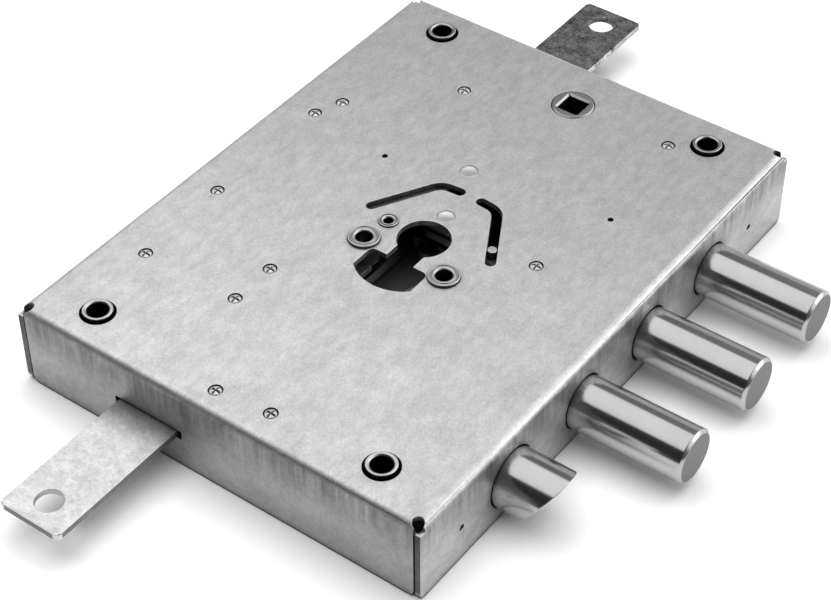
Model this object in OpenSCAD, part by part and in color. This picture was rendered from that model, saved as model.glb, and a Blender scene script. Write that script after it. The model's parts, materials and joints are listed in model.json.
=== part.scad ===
// Multipoint mortice lock for a steel door: three deadbolts, a bevelled latch and two vertical rods.
// The origin lies on the axis of the profile cylinder, at the underside of the case.
// +X is the throw of the bolts, +Y runs up along the rods, +Z leaves the case through its visible face.
// The model stands as photographed: bolts, latch and rods thrown out, and the detent lever lifted by the cam.

/* [Case] */
// Distance from the cylinder's axis to the bolt face
backset = 71; // [69:0.5:76]
// Width of the case, from the rear flange to the bolt face
case_w = 152.5; // [151:0.5:162]
// Length of the case along the rods
case_l = 204.5; // [188:0.5:225]
// Distance from the cylinder's axis up to the middle of the case
case_mid_y = 3.75; // [3:0.25:6]
// Thickness of the case
case_t = 30; // [29.5:0.5:34]
// Thickness of the folded sheet
sheet_t = 2; // [1.5:0.1:2.2]
// Outer radius of the folds
fold_r = 3; // [2.5:0.1:3.5]
// Set-back of the end flanges from the bolt face and the rear, at the corner reliefs
relief = 2.5; // [2:0.1:3]
// Radius of the round relief hole at each corner
relief_hole_r = 1.8; // [1.2:0.1:2.2]
// Radius of the flanges' free corners
flange_corner_r = 2.5; // [1:0.1:4]
// Thickness of the cover plate that closes the underside
cover_t = 2; // [1.5:0.1:2.2]
// Gap between the cover plate and the flanges
cover_gap = 0.3; // [0.2:0.05:0.6]

/* [Cylinder opening] */
// Radius of the round bore for the profile cylinder
cyl_r = 8.75; // [8.6:0.05:9]
// Width of the neck under the bore in the visible face
neck_w = 10.2; // [10.1:0.1:11]
// Width of the wide lobe under the neck
lobe_w = 22; // [18:0.5:24]
// Distance from the cylinder's axis down to the top of the lobe
lobe_top = 12.8; // [11:0.1:14]
// Radius of the lobe's lower edge
lobe_r = 16; // [14:0.5:17]
// Distance from the cylinder's axis down to the centre of that edge
lobe_drop = 10.6; // [9:0.1:11]
// Width of the cylinder's tail slot in the cover plate
tail_w = 10.6; // [10.2:0.1:11]
// Distance from the cylinder's axis down to the centre of the tail slot's round end
tail_drop = 20; // [19.5:0.1:20.5]
// Reach of the cylinder's cam, kept free of everything but the teeth and the detent lever
cam_reach = 15; // [14:0.1:15.5]

/* [Deadbolts] */
// Diameter of a deadbolt
bolt_d = 18; // [16:0.5:19]
// Distance from one deadbolt to the next
bolt_pitch = 37; // [36:0.5:38]
// Height of the middle deadbolt above the cylinder's axis
bolt_mid_y = 21; // [20:0.5:22]
// Length of a thrown deadbolt outside the bolt face
bolt_out = 39.5; // [38:0.5:45]
// Throw of the deadbolts
bolt_travel = 36; // [33:0.5:36.5]
// Turns of the key for the whole throw
key_turns = 3; // [2:1:4]
// Height of the bolts' axes above the underside
axis_z = 13; // [12.5:0.1:13.2]
// Chamfer round the end of a deadbolt
bolt_chamfer = 1; // [0.5:0.1:2]
// Radial running clearance of bolts and latch in the guide plate
run_gap = 0.075; // [0.05:0.005:0.1]
// Radial gap of bolts and latch in the bolt face
face_gap = 0.3; // [0.2:0.05:0.5]
// Thickness of the guide plate behind the bolt face
guide_t = 3; // [2.5:0.1:3.4]

/* [Carriage] */
// Thickness of the bolt carriage
carriage_t = 4; // [3:0.1:4.2]
// Depth from the bolts' axis down to the flat that sits on the carriage
flat_drop = 2; // [1.5:0.1:2.5]
// Height of the teeth's tips over the cylinder's bore
tooth_gap = 2.75; // [2:0.05:3]
// Depth of the drive teeth
tooth_h = 5.5; // [5:0.1:6]
// Width of a tooth at its tip
tooth_w = 3.5; // [2.5:0.1:4]
// Depth of the detent notches
notch_h = 4; // [3.8:0.1:4.4]
// Width of the bolt carriage's arms under and over the cylinder
arm_w = 11; // [10.5:0.1:11.2]

/* [Rods] */
// Width of a rod
rod_w = 23; // [18:0.5:24]
// Thickness of a rod and its foot
rod_t = 2.2; // [2:0.1:3]
// Distance from the cylinder's axis to the line midway between the two rods' middles
rod_x = -29.5; // [-30:0.1:-29]
// Step to the rear from the upper rod's middle to the lower one's
rod_step = 1.2; // [0:0.1:1.4]
// Length of the upper rod outside the case
upper_out = 51.7; // [45:0.1:80]
// Length of the lower rod outside the case
lower_out = 51.5; // [45:0.1:80]
// Travel of the rods
rod_travel = 20; // [18:0.5:20]
// Radius of the hole near each rod's end
rod_hole_r = 4.5; // [3:0.1:5]
// Distance of that hole from the rod's end
rod_hole_in = 9; // [8:0.1:15]
// Radius of the rods' end corners
rod_corner_r = 2; // [1:0.1:4]
// Gap round a rod in its slot, along its width
slot_side_gap = 1.5; // [0.5:0.1:2.5]
// Gap round a rod in its slot, along its thickness
slot_flat_gap = 0.5; // [0.3:0.05:0.6]

/* [Latch] */
// Diameter of the latch bolt
latch_d = 20; // [18:0.5:20.4]
// Distance from the cylinder's axis down to the latch
latch_drop = 54; // [53:0.5:56]
// Length of the thrown latch outside the bolt face
latch_out = 20; // [19:0.5:26]
// Travel of the latch
latch_travel = 18; // [16:0.5:18.5]
// Steepness of the latch bevel, as length over height
latch_bevel = 0.7; // [0.5:0.05:0.8]
// Diameter of the latch tail
tail_d = 8; // [6:0.5:9]

/* [Follower] */
// Distance from the upper flange down to the axis of the handle's follower
follower_in = 21; // [18:0.5:22]
// Side of the square hole for the handle's spindle
square_w = 8; // [7:0.1:9]
// Radius of the follower's bosses
boss_r = 7.4; // [6.8:0.1:7.8]
// Radial clearance of the bosses in the case
boss_gap = 0.07; // [0.05:0.01:0.1]
// Height of the follower's boss over the visible face
follower_rise = 0.3; // [0:0.1:1]
// Radius of the follower's hub inside the case
hub_r = 9.5; // [8.8:0.1:10]
// Turn of the handle in degrees
handle_turn = 45; // [42:1:48]
// Travel of the link that the follower lifts
link_travel = 13; // [12:0.1:13.2]

/* [Bushes and small holes] */
// Distance of the corner bushes from the rear flange
corner_rear_in = 21.5; // [17:0.5:22.5]
// Distance of the corner bushes from the bolt face
corner_face_in = 23; // [20:0.5:26]
// Distance of the lower corner bushes from the lower flange
corner_low_in = 13; // [9:0.5:16]
// Distance of the upper corner bushes from the upper flange
corner_top_in = 13.5; // [9:0.5:16]
// Outer radius of a corner bush
corner_bush_r = 4.8; // [4.5:0.1:5.2]
// Radius of a corner bush's bore
corner_bore_r = 3.4; // [2.5:0.1:4]
// Height of the corner bushes over the visible face
corner_rise = 1.2; // [0.5:0.1:2.5]
// Radial gap round the corner bushes in the visible face
corner_gap = 0.9; // [0.1:0.1:1]
// Distance between the two cylinder bushes
escutcheon_pitch = 31; // [30:0.5:32]
// Distance from the cylinder's axis down to the cylinder bushes
escutcheon_drop = 10.8; // [10:0.1:12]
// Outer radius of a cylinder bush
escutcheon_bush_r = 5.25; // [4.5:0.05:5.5]
// Radius of a cylinder bush's bore
escutcheon_bore_r = 2.7; // [2:0.05:3]
// Height of the cylinder bushes over the visible face
escutcheon_rise = 1; // [0.4:0.1:2]
// Radius of the small bush beside the cylinder
small_bush_r = 3.3; // [2.5:0.1:3.6]
// Radius of the small bush's bore
small_bore_r = 1.5; // [1:0.1:1.8]
// Height of the small bush over the visible face
small_rise = 0.6; // [0.2:0.1:1]
// Radius of the rivets that hold the drill plate
rivet_r = 3; // [2:0.1:3.2]
// Thickness of the drill plate
drill_t = 2.5; // [1.5:0.1:2.8]
// Width of the two bent slots
bent_slot_w = 3.6; // [3:0.1:4.2]
// Chamfer at the mouth of the bushes
bush_chamfer = 0.5; // [0.2:0.1:0.8]
// Depth of the ring groove in the end of the cylinder bushes and the small bush
bush_groove = 0.4; // [0.2:0.1:0.5]

/* [Pins and springs] */
// Radius of the guide pins
pin_r = 2.2; // [1.8:0.1:2.3]
// Radius of the staked heads in the visible face
head_r = 2.3; // [2:0.1:2.6]
// Height of the staked heads over the visible face
head_rise = 0.35; // [0:0.05:0.4]
// Radius of the cover posts
post_r = 4; // [3.4:0.1:4.2]
// Radius of the cover screws' threads
screw_r = 2; // [1.5:0.1:2.2]
// Radius of the screws that hold the deadbolts
bolt_screw_r = 3; // [2.5:0.1:3.2]
// Wire diameter of the springs
wire_d = 1.2; // [0.8:0.1:1.3]
// Radial clearance of a pin in the piece that turns or slides on it
pin_gap = 0.05; // [0.03:0.01:0.1]
// Radial clearance of a piece pressed or staked in its hole
fit_gap = 0.03; // [0.01:0.01:0.05]

/* [Hidden] */

// Fineness of large and small round faces
fine = 64;
small = 32;
// How far a cut runs past the face that it opens
past = 1;
// Gap between two pieces that slide or turn over each other, face to face
slide_gap = 0.2;
// Gap between two pieces that pass each other without a guide
free_gap = 0.5;
// Radius of small corners and of large ones
corner_r = 2;
foot_corner_r = 3;

// Case: its faces, inside and out
rear_x = backset - case_w;
low_y = case_mid_y - case_l / 2;
top_y = case_mid_y + case_l / 2;
inner_z = case_t - sheet_t;
inner_rear_x = rear_x + sheet_t;
inner_low_y = low_y + sheet_t;
inner_top_y = top_y - sheet_t;
guide_x = backset - sheet_t - guide_t;

// How far the cover screws reach into their posts, and how much deeper the posts are tapped
screw_bite = 7;
tap_spare = 2;

// Distances of the rear pins and posts from the rear flange, and of the low ones from the lower flange
pivot_in = 13.7;
carriage_pin_in = 13.5;
spring_post_in = 17.6;
rear_post_in = 15.2;
bracket_pin_in = 8.5;
low_post_in = 10.7;
face_hole_low_in = 20;
face_hole_top_in = 23;

// Places of the staked pins in the visible face
follower_y = top_y - follower_in;
spring_post_y = 40.4;
detent_pivot_at = [rear_x + pivot_in, spring_post_y - 10];
upper_rod_x = rod_x + rod_step / 2;
lower_rod_x = rod_x - rod_step / 2;
upper_rod_pin_at = [upper_rod_x - 5.5, 70];
lower_rod_pins_at = [[lower_rod_x - 0.2, -39.4], [lower_rod_x - 0.2, -56.2]];
carriage_pin_at = [rear_x + carriage_pin_in, -20];
link_pin_at = [35.6, 10.3];
bracket_pin_at = [-9.5, low_y + bracket_pin_in];
spring_post_at = [rear_x + spring_post_in, spring_post_y];
handle_post_at = [37.3, follower_y + 0.3];
rear_post_at = [rear_x + rear_post_in, -56.7];
low_post_at = [9.5, low_y + low_post_in];
cover_posts_at = [spring_post_at, handle_post_at, rear_post_at, low_post_at];
drill_rivets_at = [[-8, 35.7], [-0.75, 12.8]];
small_bush_at = [-14.2, 0.3];
plain_holes_at = [[-34.9, 25.8], [42.3, 42.4]];
plain_hole_r = 1;
rivet_neck_r = rivet_r - 0.8;
drill_gap = 0.8;
face_holes_y = [low_y + face_hole_low_in, top_y - face_hole_top_in];
face_hole_r = 1.1;
corners_x = [rear_x + corner_rear_in, backset - corner_face_in];
corners_y = [low_y + corner_low_in, top_y - corner_top_in];
spigot_r = (corner_bush_r + corner_bore_r) / 2;

// Bent slots: outer end, bend and lower end of the right one; the left one is its mirror
slot_top = [4.2, 25.4];
slot_bend = [11, 24.8];
slot_foot = [23.2, 3.2];
slot_dir = (slot_bend - slot_foot) / norm(slot_bend - slot_foot);
slot_angle = atan2(slot_dir[1], slot_dir[0]);

// Layers from the cover plate up
carriage_top = axis_z - flat_drop;
carriage_z = carriage_top - carriage_t;
rod_z = axis_z - rod_t / 2;
rod_top = axis_z + rod_t / 2;
lever_z = rod_top + free_gap;
lever_t = 3;
link_t = 3;
link_gap = 1;
link_top = inner_z - link_gap;
link_z = link_top - link_t;
follower_arm_t = 4;
follower_arm_z = link_z - link_gap - follower_arm_t;
over_bolts_z = axis_z + bolt_d / 2 + free_gap;

// Carriage: a frame whose window goes round the cylinder, with room for the cam at both ends of the throw
cam_room = 1;
window_x = -cam_reach - cam_room;
window_end_x = -window_x + bolt_travel;
tooth_tip_y = cyl_r + tooth_gap;
window_y = tooth_tip_y + tooth_h;
carriage_y = window_y + arm_w;
window_low_y = -28;
low_arm_w = 8;
carriage_low_y = window_low_y - low_arm_w;
carriage_rear_gap = 1.5;
carriage_x = inner_rear_x + carriage_rear_gap + bolt_travel;
carriage_end_x = guide_x - free_gap;
bolt_land = 3;
carriage_top_y = bolt_mid_y + bolt_pitch + bolt_d / 2 + bolt_land;
throw_step = bolt_travel / key_turns;
bolts_y = [bolt_mid_y + bolt_pitch, bolt_mid_y, bolt_mid_y - bolt_pitch];
bolt_rear_x = window_end_x - 1;
bolt_screw_end_z = axis_z + bolt_d / 2 - 3;
drive_eye_r = 6;
lightening_r = 4;
bolt_screw_x = (window_end_x + carriage_end_x) / 2;
bolt_tip_x = backset + bolt_out;
first_tooth_x = -7;

// Drive pins of the rods, and the slots that they climb through
upper_drive_at = [-17, 46];
lower_drive_at = [-22, -10];
drives_at = [upper_drive_at, lower_drive_at];
slot_r = pin_r + 0.25;
foot_wall = 3.5;
// The feet's right edges stay clear of the cam, and the upper foot reaches further to the rear
foot_trim = 0.5;
foot_lap = 5;
guide_slot_r = pin_r + free_gap;
carriage_collar_r = pin_r + 1;
upper_end_y = top_y + upper_out;
lower_end_y = low_y - lower_out;

// Detent lever
lever_w = 8;
lever_hub_r = 4.5;
pivot_r = pin_r + 0.2;
stud_r = 2.5;
detent_stud_at = [first_tooth_x, carriage_y + stud_r + free_gap];
belly_y = cam_reach + 0.4;

// Springs: turns, gap between the curls, gap round what they sit on, and gap of a leg to what it presses
spring_turns = 4;
handle_turns = spring_turns - 0.25;
latch_spring_turns = 8;
curl_gap = 0.5;
coil_gap = 0.4;
leg_gap = 0.3;

// Follower and link
arm_r = link_travel / (2 * sin(handle_turn / 2));
arm_rest = slot_angle - 90 - handle_turn / 2;
arm_mid = arm_rest + handle_turn / 2;
follower_at = [0, follower_y];
follower_pin_r = 2;
follower_eye_r = 4.2;
follower_pin_at = follower_at + arm_r * [cos(arm_rest), sin(arm_rest)];
pin_wander = arm_r * (1 - cos(handle_turn / 2));
follower_slot_end = follower_pin_at + pin_wander * [cos(arm_mid), sin(arm_mid)];
link_x = 29;
link_w = 6;
link_eye_r = 4.4;
waist_drop = 17;
link_stud_in = 6.5;
link_stud_at = slot_foot + link_stud_in * slot_dir;
link_stud_r = bent_slot_w / 2 - slide_gap;

// Latch
latch_y = -latch_drop;
latch_tip_x = backset + latch_out;
latch_rear_x = guide_x - latch_travel - 2;
latch_stud_in = 6;
latch_stud_at = [latch_rear_x + latch_stud_in, latch_y];
latch_slot_end = latch_stud_at + [-latch_travel, 0] - link_travel * slot_dir;
bracket_t = 2;
bracket_x = 15;
bracket_end_x = bracket_x + bracket_t;
latch_tail_x = bracket_x - 5;
tab_margin = tail_d / 2 + 4;

// A flat bar with round ends from point a to point b
module bar(a, b, w) {
    d = b - a;
    translate(a) rotate(atan2(d[1], d[0])) {
        translate([0, -w / 2]) square([norm(d), w]);
        circle(w / 2, $fn = small);
        translate([norm(d), 0]) circle(w / 2, $fn = small);
    }
}

// A rectangle between two corners
module rect(a, b) {
    translate(a) square(b - a);
}

// A rectangle between two corners, with round corners
module round_rect(a, b, r) {
    rect(a + [r, 0], b - [r, 0]);
    rect(a + [0, r], b - [0, r]);
    for (x = [a[0] + r, b[0] - r]) for (y = [a[1] + r, b[1] - r]) translate([x, y]) circle(r, $fn = small);
}

// A flat plate of a 2D outline between two heights
module plate(z_low, z_high) {
    translate([0, 0, z_low]) linear_extrude(z_high - z_low) children();
}

// A round rod between two heights
module post(at, r, z_low, z_high) {
    translate([at[0], at[1], z_low]) cylinder(r = r, h = z_high - z_low, $fn = fine);
}

// A round rod along +X
module x_rod(x_low, x_high, y, z, r) {
    translate([x_low, y, z]) rotate([0, 90, 0]) cylinder(r = r, h = x_high - x_low, $fn = fine);
}

// A quarter of the sheet's fold, seen along the fold, with its corner at the origin
module fold_section() {
    intersection() {
        difference() {
            translate([fold_r, -fold_r]) circle(fold_r, $fn = fine);
            translate([fold_r, -fold_r]) circle(fold_r - sheet_t, $fn = fine);
        }
        translate([0, -fold_r]) square(fold_r);
    }
}

// The corner that is cut off a flange to round it
module corner_waste(r) {
    difference() {
        translate([-past, -past]) square(r + past);
        translate([r, r]) circle(r, $fn = small);
    }
}

// The bent slot on the right of the cylinder
module bent_slot() {
    bar(slot_top, slot_bend, bent_slot_w);
    bar(slot_bend, slot_foot, bent_slot_w);
}

// The cylinder's opening in the visible face: bore, neck and wide lobe
module cylinder_opening() {
    circle(cyl_r, $fn = fine);
    rect([-neck_w / 2, -lobe_top - past], [neck_w / 2, 0]);
    intersection() {
        translate([0, -lobe_drop]) circle(lobe_r, $fn = fine);
        round_rect([-lobe_w / 2, -lobe_drop - lobe_r - past], [lobe_w / 2, -lobe_top], corner_r);
    }
}

// The places of the four corner bushes
module at_corners() {
    for (x = corners_x) for (y = corners_y) translate([x, y]) children();
}

// The staked heads' holes in the visible face
module pin_holes() {
    pins = concat(cover_posts_at, lower_rod_pins_at,
        [detent_pivot_at, upper_rod_pin_at, carriage_pin_at, link_pin_at, bracket_pin_at]);
    for (at = pins) translate(at) circle(head_r + fit_gap, $fn = small);
    for (at = drill_rivets_at) translate(at) circle(rivet_r + fit_gap, $fn = small);
    for (at = plain_holes_at) translate(at) circle(plain_hole_r, $fn = small);
}

// A flange across the case at its lower end, with the fold at its top
module end_flange() {
    x_low = rear_x + relief;
    length = case_w - 2 * relief;
    translate([x_low, low_y, case_t]) rotate([90, 0, 90]) linear_extrude(length) fold_section();
    difference() {
        translate([x_low, low_y, 0]) cube([length, sheet_t, case_t - fold_r]);
        for (side = [0, 1])
            translate([x_low + side * length, low_y - past, 0]) mirror([side, 0, 0]) rotate([90, 0, 0])
                mirror([0, 0, 1]) linear_extrude(sheet_t + 2 * past) corner_waste(flange_corner_r);
    }
}

// A flange along the case at its rear, which runs the whole length below the fold
module long_flange() {
    fold_len = case_l - 2 * relief;
    translate([rear_x, top_y - relief, case_t]) rotate([90, 0, 0]) linear_extrude(fold_len) fold_section();
    difference() {
        translate([rear_x, low_y, 0]) cube([sheet_t, case_l, case_t - fold_r]);
        for (side = [0, 1])
            translate([rear_x - past, low_y + side * case_l, 0]) mirror([0, side, 0]) rotate([90, 0, 90])
                linear_extrude(sheet_t + 2 * past) corner_waste(flange_corner_r);
    }
}

// Folded case: visible face and four flanges, open below
module case_body() {
    mid_x = rear_x + case_w / 2;
    mid_y = low_y + case_l / 2;
    slot_half = rod_w / 2 + slot_side_gap;
    color("silver") difference() {
        union() {
            plate(inner_z, case_t)
                rect([rear_x + fold_r, low_y + fold_r], [backset - fold_r, top_y - fold_r]);
            end_flange();
            translate([0, 2 * mid_y, 0]) mirror([0, 1, 0]) end_flange();
            long_flange();
            translate([2 * mid_x, 0, 0]) mirror([1, 0, 0]) long_flange();
        }
        plate(inner_z - past, case_t + past) {
            cylinder_opening();
            bent_slot();
            mirror([1, 0]) bent_slot();
            pin_holes();
            at_corners() circle(corner_bush_r + corner_gap, $fn = small);
            for (side = [-1, 1])
                translate([side * escutcheon_pitch / 2, -escutcheon_drop])
                    circle(escutcheon_bush_r + fit_gap, $fn = small);
            translate(small_bush_at) circle(small_bush_r + fit_gap, $fn = small);
            translate(follower_at) circle(boss_r + boss_gap, $fn = fine);
        }
        for (x = [rear_x + relief, backset - relief]) for (y = [low_y + relief, top_y - relief])
            post([x, y], relief_hole_r, case_t - fold_r - past, case_t + past);
        for (y = bolts_y) x_rod(backset - sheet_t - past, backset + past, y, axis_z, bolt_d / 2 + face_gap);
        x_rod(backset - sheet_t - past, backset + past, latch_y, axis_z, latch_d / 2 + face_gap);
        for (y = face_holes_y) x_rod(backset - sheet_t - past, backset + past, y, axis_z, face_hole_r);
        for (corner = [[lower_rod_x, low_y - past], [upper_rod_x, inner_top_y - past]])
            translate([corner[0] - slot_half, corner[1], rod_z - slot_flat_gap])
                cube([2 * slot_half, sheet_t + 2 * past, rod_t + 2 * slot_flat_gap]);
    }
}

// Cover plate that closes the underside, between the flanges
module cover_plate() {
    low = [inner_rear_x + cover_gap, inner_low_y + cover_gap];
    high = [backset - sheet_t - cover_gap, inner_top_y - cover_gap];
    color("darkgray") difference() {
        plate(0, cover_t) difference() {
            round_rect(low, high, corner_r / 2);
            circle(cyl_r, $fn = fine);
            rect([-tail_w / 2, -tail_drop], [tail_w / 2, 0]);
            translate([0, -tail_drop]) circle(tail_w / 2, $fn = small);
            translate(follower_at) circle(boss_r + boss_gap, $fn = fine);
            at_corners() circle(spigot_r + fit_gap, $fn = small);
        }
        for (at = cover_posts_at)
            translate([at[0], at[1], 0]) countersink(screw_r + fit_gap, cover_t);
    }
}

// The cut of a countersunk screw whose head ends flush below a plate of the given thickness
module countersink(r, t) {
    translate([0, 0, -past]) cylinder(r = r, h = t + 2 * past, $fn = small);
    cylinder(r1 = 2 * r, r2 = r, h = r, $fn = small);
}

// A countersunk screw with a straight slot, its head flush at the given height and its shank upwards
module flat_screw(at, z, r, length) {
    difference() {
        translate([at[0], at[1], z]) {
            cylinder(r1 = 2 * r, r2 = r, h = r, $fn = small);
            cylinder(r = r, h = length, $fn = small);
        }
        translate([at[0], at[1], z]) cube([4 * r, r / 2, r / 2], center = true);
    }
}

// Four screws that hold the cover plate
module cover_screws() {
    color("silver") for (at = cover_posts_at) flat_screw(at, 0, screw_r, cover_t + screw_bite);
}

// A pin staked in the visible face: shoulder below the face, neck through it, head flush on it
module staked(at, r, z_low) {
    post(at, r, z_low, inner_z);
    post(at, head_r, inner_z, case_t + head_rise);
}

// Four posts between the cover plate and the visible face
module cover_posts() {
    color("gray") for (at = cover_posts_at) difference() {
        staked(at, post_r, cover_t);
        post(at, screw_r + fit_gap, cover_t - past, cover_t + screw_bite + tap_spare);
    }
}

// A bush with a chamfered bore, between two heights
module bush(r, bore_r, z_low, z_high) {
    difference() {
        cylinder_between(r, z_low, z_high);
        cylinder_between(bore_r, z_low - past, z_high + past);
        translate([0, 0, z_high - bush_chamfer])
            cylinder(r1 = bore_r, r2 = bore_r + 2 * bush_chamfer, h = 2 * bush_chamfer, $fn = fine);
    }
}

// A bush whose end has a ring groove between its rim and its lip
module grooved_bush(r, bore_r, z_low, z_high) {
    groove_w = (r - bore_r - bush_chamfer) / 3;
    difference() {
        bush(r, bore_r, z_low, z_high);
        difference() {
            cylinder_between(r - groove_w, z_high - bush_groove, z_high + past);
            cylinder_between(r - 2 * groove_w, z_high - bush_groove - past, z_high + 2 * past);
        }
    }
}

// A round rod on the axis, between two heights
module cylinder_between(r, z_low, z_high) {
    post([0, 0], r, z_low, z_high);
}

// Four bushes for the screws that fix the lock in the door, with a spigot riveted in the cover plate
module corner_bushes() {
    color("lightgray") at_corners() difference() {
        union() {
            cylinder_between(spigot_r, 0, cover_t);
            bush(corner_bush_r, corner_bore_r, cover_t, case_t + corner_rise);
        }
        cylinder_between(corner_bore_r, -past, cover_t + past);
    }
}

// Two bushes for the screws of the cylinder's escutcheon
module cylinder_bushes() {
    color("lightgray") for (side = [-1, 1])
        translate([side * escutcheon_pitch / 2, -escutcheon_drop])
            grooved_bush(escutcheon_bush_r, escutcheon_bore_r, over_bolts_z, case_t + escutcheon_rise);
}

// Small bush beside the cylinder
module small_bush() {
    color("lightgray") translate(small_bush_at)
        grooved_bush(small_bush_r, small_bore_r, over_bolts_z, case_t + small_rise);
}

// Hardened plate under the visible face, cut clear of the cylinder, the small bush and the slot's short arm
module drill_plate() {
    edge = 1.5;
    left_x = -slot_foot[0] - bent_slot_w / 2 - 2 * edge;
    low_y_of_plate = slot_foot[1] - bent_slot_w / 2 - 2 * edge - 0.4;
    high_y_of_plate = drill_rivets_at[0][1] + rivet_r + 2 * edge + 0.3;
    shoulder_y = high_y_of_plate - 2 * rivet_r - 5;
    shoulder_x = -slot_top[0] + bent_slot_w / 2 + 0.4;
    bush_side_x = small_bush_at[0] - small_bush_r - edge;
    bush_gap_y = small_bush_at[1] + small_bush_r + edge;
    tongue = drill_rivets_at[1] + [rivet_r + 1.25, rivet_r + 4.7];
    color("dimgray") plate(inner_z - drill_t, inner_z) difference() {
        union() {
            round_rect([left_x, bush_gap_y], [-slot_bend[0] + edge, high_y_of_plate], corner_r);
            round_rect([left_x, low_y_of_plate], [bush_side_x, high_y_of_plate], corner_r);
            round_rect([left_x, shoulder_y], [shoulder_x, high_y_of_plate], corner_r);
            round_rect([left_x, cyl_r + drill_gap], tongue, corner_r);
        }
        circle(cyl_r + drill_gap, $fn = fine);
        for (at = drill_rivets_at) translate(at) circle(rivet_neck_r + fit_gap, $fn = small);
    }
}

// Two flush rivets through the face and the drill plate
module plate_rivets() {
    color("lightgray") for (at = drill_rivets_at) {
        post(at, rivet_r, inner_z, case_t);
        post(at, rivet_neck_r, inner_z - drill_t, inner_z);
    }
}

// Thick plate behind the bolt face, with the running bores of the bolts and the latch
module bolt_guide_plate() {
    land = 8;
    plate_low = latch_y - latch_d / 2 - land;
    plate_high = carriage_top_y;
    color("slategray") difference() {
        translate([guide_x, plate_low, cover_t + slide_gap])
            cube([guide_t, plate_high - plate_low, case_t - fold_r - cover_t - 2 * slide_gap]);
        for (y = bolts_y) x_rod(guide_x - past, backset, y, axis_z, bolt_d / 2 + run_gap);
        x_rod(guide_x - past, backset, latch_y, axis_z, latch_d / 2 + run_gap);
    }
}

// Three pins that guide the rods, with a shoulder that keeps the rods down
module rod_guide_pins() {
    color("lightgray") for (at = concat(lower_rod_pins_at, [upper_rod_pin_at])) {
        post(at, pin_r, cover_t + slide_gap, lever_z);
        staked(at, pin_r + 1.2, lever_z - slide_gap);
    }
}

// Pin in the fork at the carriage's rear, with a collar under and over the carriage
module carriage_guide_pin() {
    color("lightgray") {
        post(carriage_pin_at, carriage_collar_r, cover_t, carriage_z - slide_gap);
        post(carriage_pin_at, pin_r, carriage_z - 1, carriage_top + 1);
        staked(carriage_pin_at, carriage_collar_r, carriage_top + slide_gap);
    }
}

// Pivot of the detent lever, with a head under the lever
module detent_pivot() {
    color("lightgray") {
        post(detent_pivot_at, pivot_r + 1.1, lever_z - 1.6, lever_z - slide_gap);
        staked(detent_pivot_at, pivot_r, lever_z - 1);
    }
}

// Short pin that keeps the link on its way, over the bolts
module link_guide_pin() {
    color("lightgray") staked(link_pin_at, pin_r, over_bolts_z);
}

// Rivet that holds the latch bracket
module bracket_pin() {
    color("lightgray") {
        post(bracket_pin_at, pin_r + 1.2, inner_z - bracket_t - 1.2, inner_z - bracket_t);
        staked(bracket_pin_at, pin_r, inner_z - bracket_t - 1);
    }
}

// Angle bracket that guides the latch tail and carries its spring
module latch_bracket() {
    low = bracket_pin_at - [4.5, 4];
    bend_x = bracket_end_x - corner_r / 2;
    color("gray") difference() {
        union() {
            plate(inner_z - bracket_t, inner_z)
                round_rect(low, [bend_x, latch_y + tab_margin], corner_r / 2);
            translate([bracket_x, latch_y - tab_margin, axis_z - tab_margin])
                cube([bracket_t, 2 * tab_margin, inner_z - axis_z + tab_margin]);
        }
        post(bracket_pin_at, pin_r + fit_gap, inner_z - bracket_t - past, inner_z + past);
        post(low_post_at, post_r + pin_gap, inner_z - bracket_t - past, inner_z + past);
        x_rod(bracket_x - past, bracket_end_x + past, latch_y, axis_z, tail_d / 2 + run_gap);
    }
}

// One drive tooth of the carriage, pointing down; x is its driving flank
module drive_tooth(x) {
    flare = 0.8;
    polygon([[x + flare, window_y + past], [x, window_y - flare], [x, tooth_tip_y],
        [x - tooth_w, tooth_tip_y], [x - tooth_w, window_y - flare], [x - tooth_w - flare, window_y + past]]);
}

// Toothed plate that the cam drives and that carries the three bolts
module bolt_carriage() {
    fork_x = carriage_pin_at[0] + bolt_travel + slide_gap;
    notch_half = stud_r + 0.4;
    color("gainsboro") difference() {
        plate(carriage_z, carriage_top) {
            difference() {
                union() {
                    round_rect([carriage_x, carriage_low_y], [carriage_end_x, carriage_y], corner_r);
                    round_rect([window_end_x, carriage_low_y], [carriage_end_x, carriage_top_y], corner_r);
                    bar([upper_drive_at[0], carriage_y - drive_eye_r], upper_drive_at, 2 * drive_eye_r);
                }
                difference() {
                    round_rect([window_x, window_low_y], [window_end_x, window_y], corner_r);
                    for (i = [0 : key_turns + 1]) drive_tooth(first_tooth_x + i * throw_step);
                }
                for (i = [0 : key_turns])
                    translate([detent_stud_at[0] + i * throw_step, carriage_y])
                        rect([-notch_half, -notch_h], [notch_half, past]);
                bar([carriage_x - 2 * pin_r, carriage_pin_at[1]], [fork_x, carriage_pin_at[1]], 2 * slot_r);
                for (at = drives_at) translate(at) circle(pin_r + fit_gap, $fn = small);
                for (i = [-1, 1])
                    translate([bolt_screw_x, bolt_mid_y + i * bolt_pitch / 2])
                        circle(lightening_r, $fn = small);
            }
        }
        for (y = bolts_y)
            translate([bolt_screw_x, y, carriage_z]) countersink(bolt_screw_r + fit_gap, carriage_t);
    }
}

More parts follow.
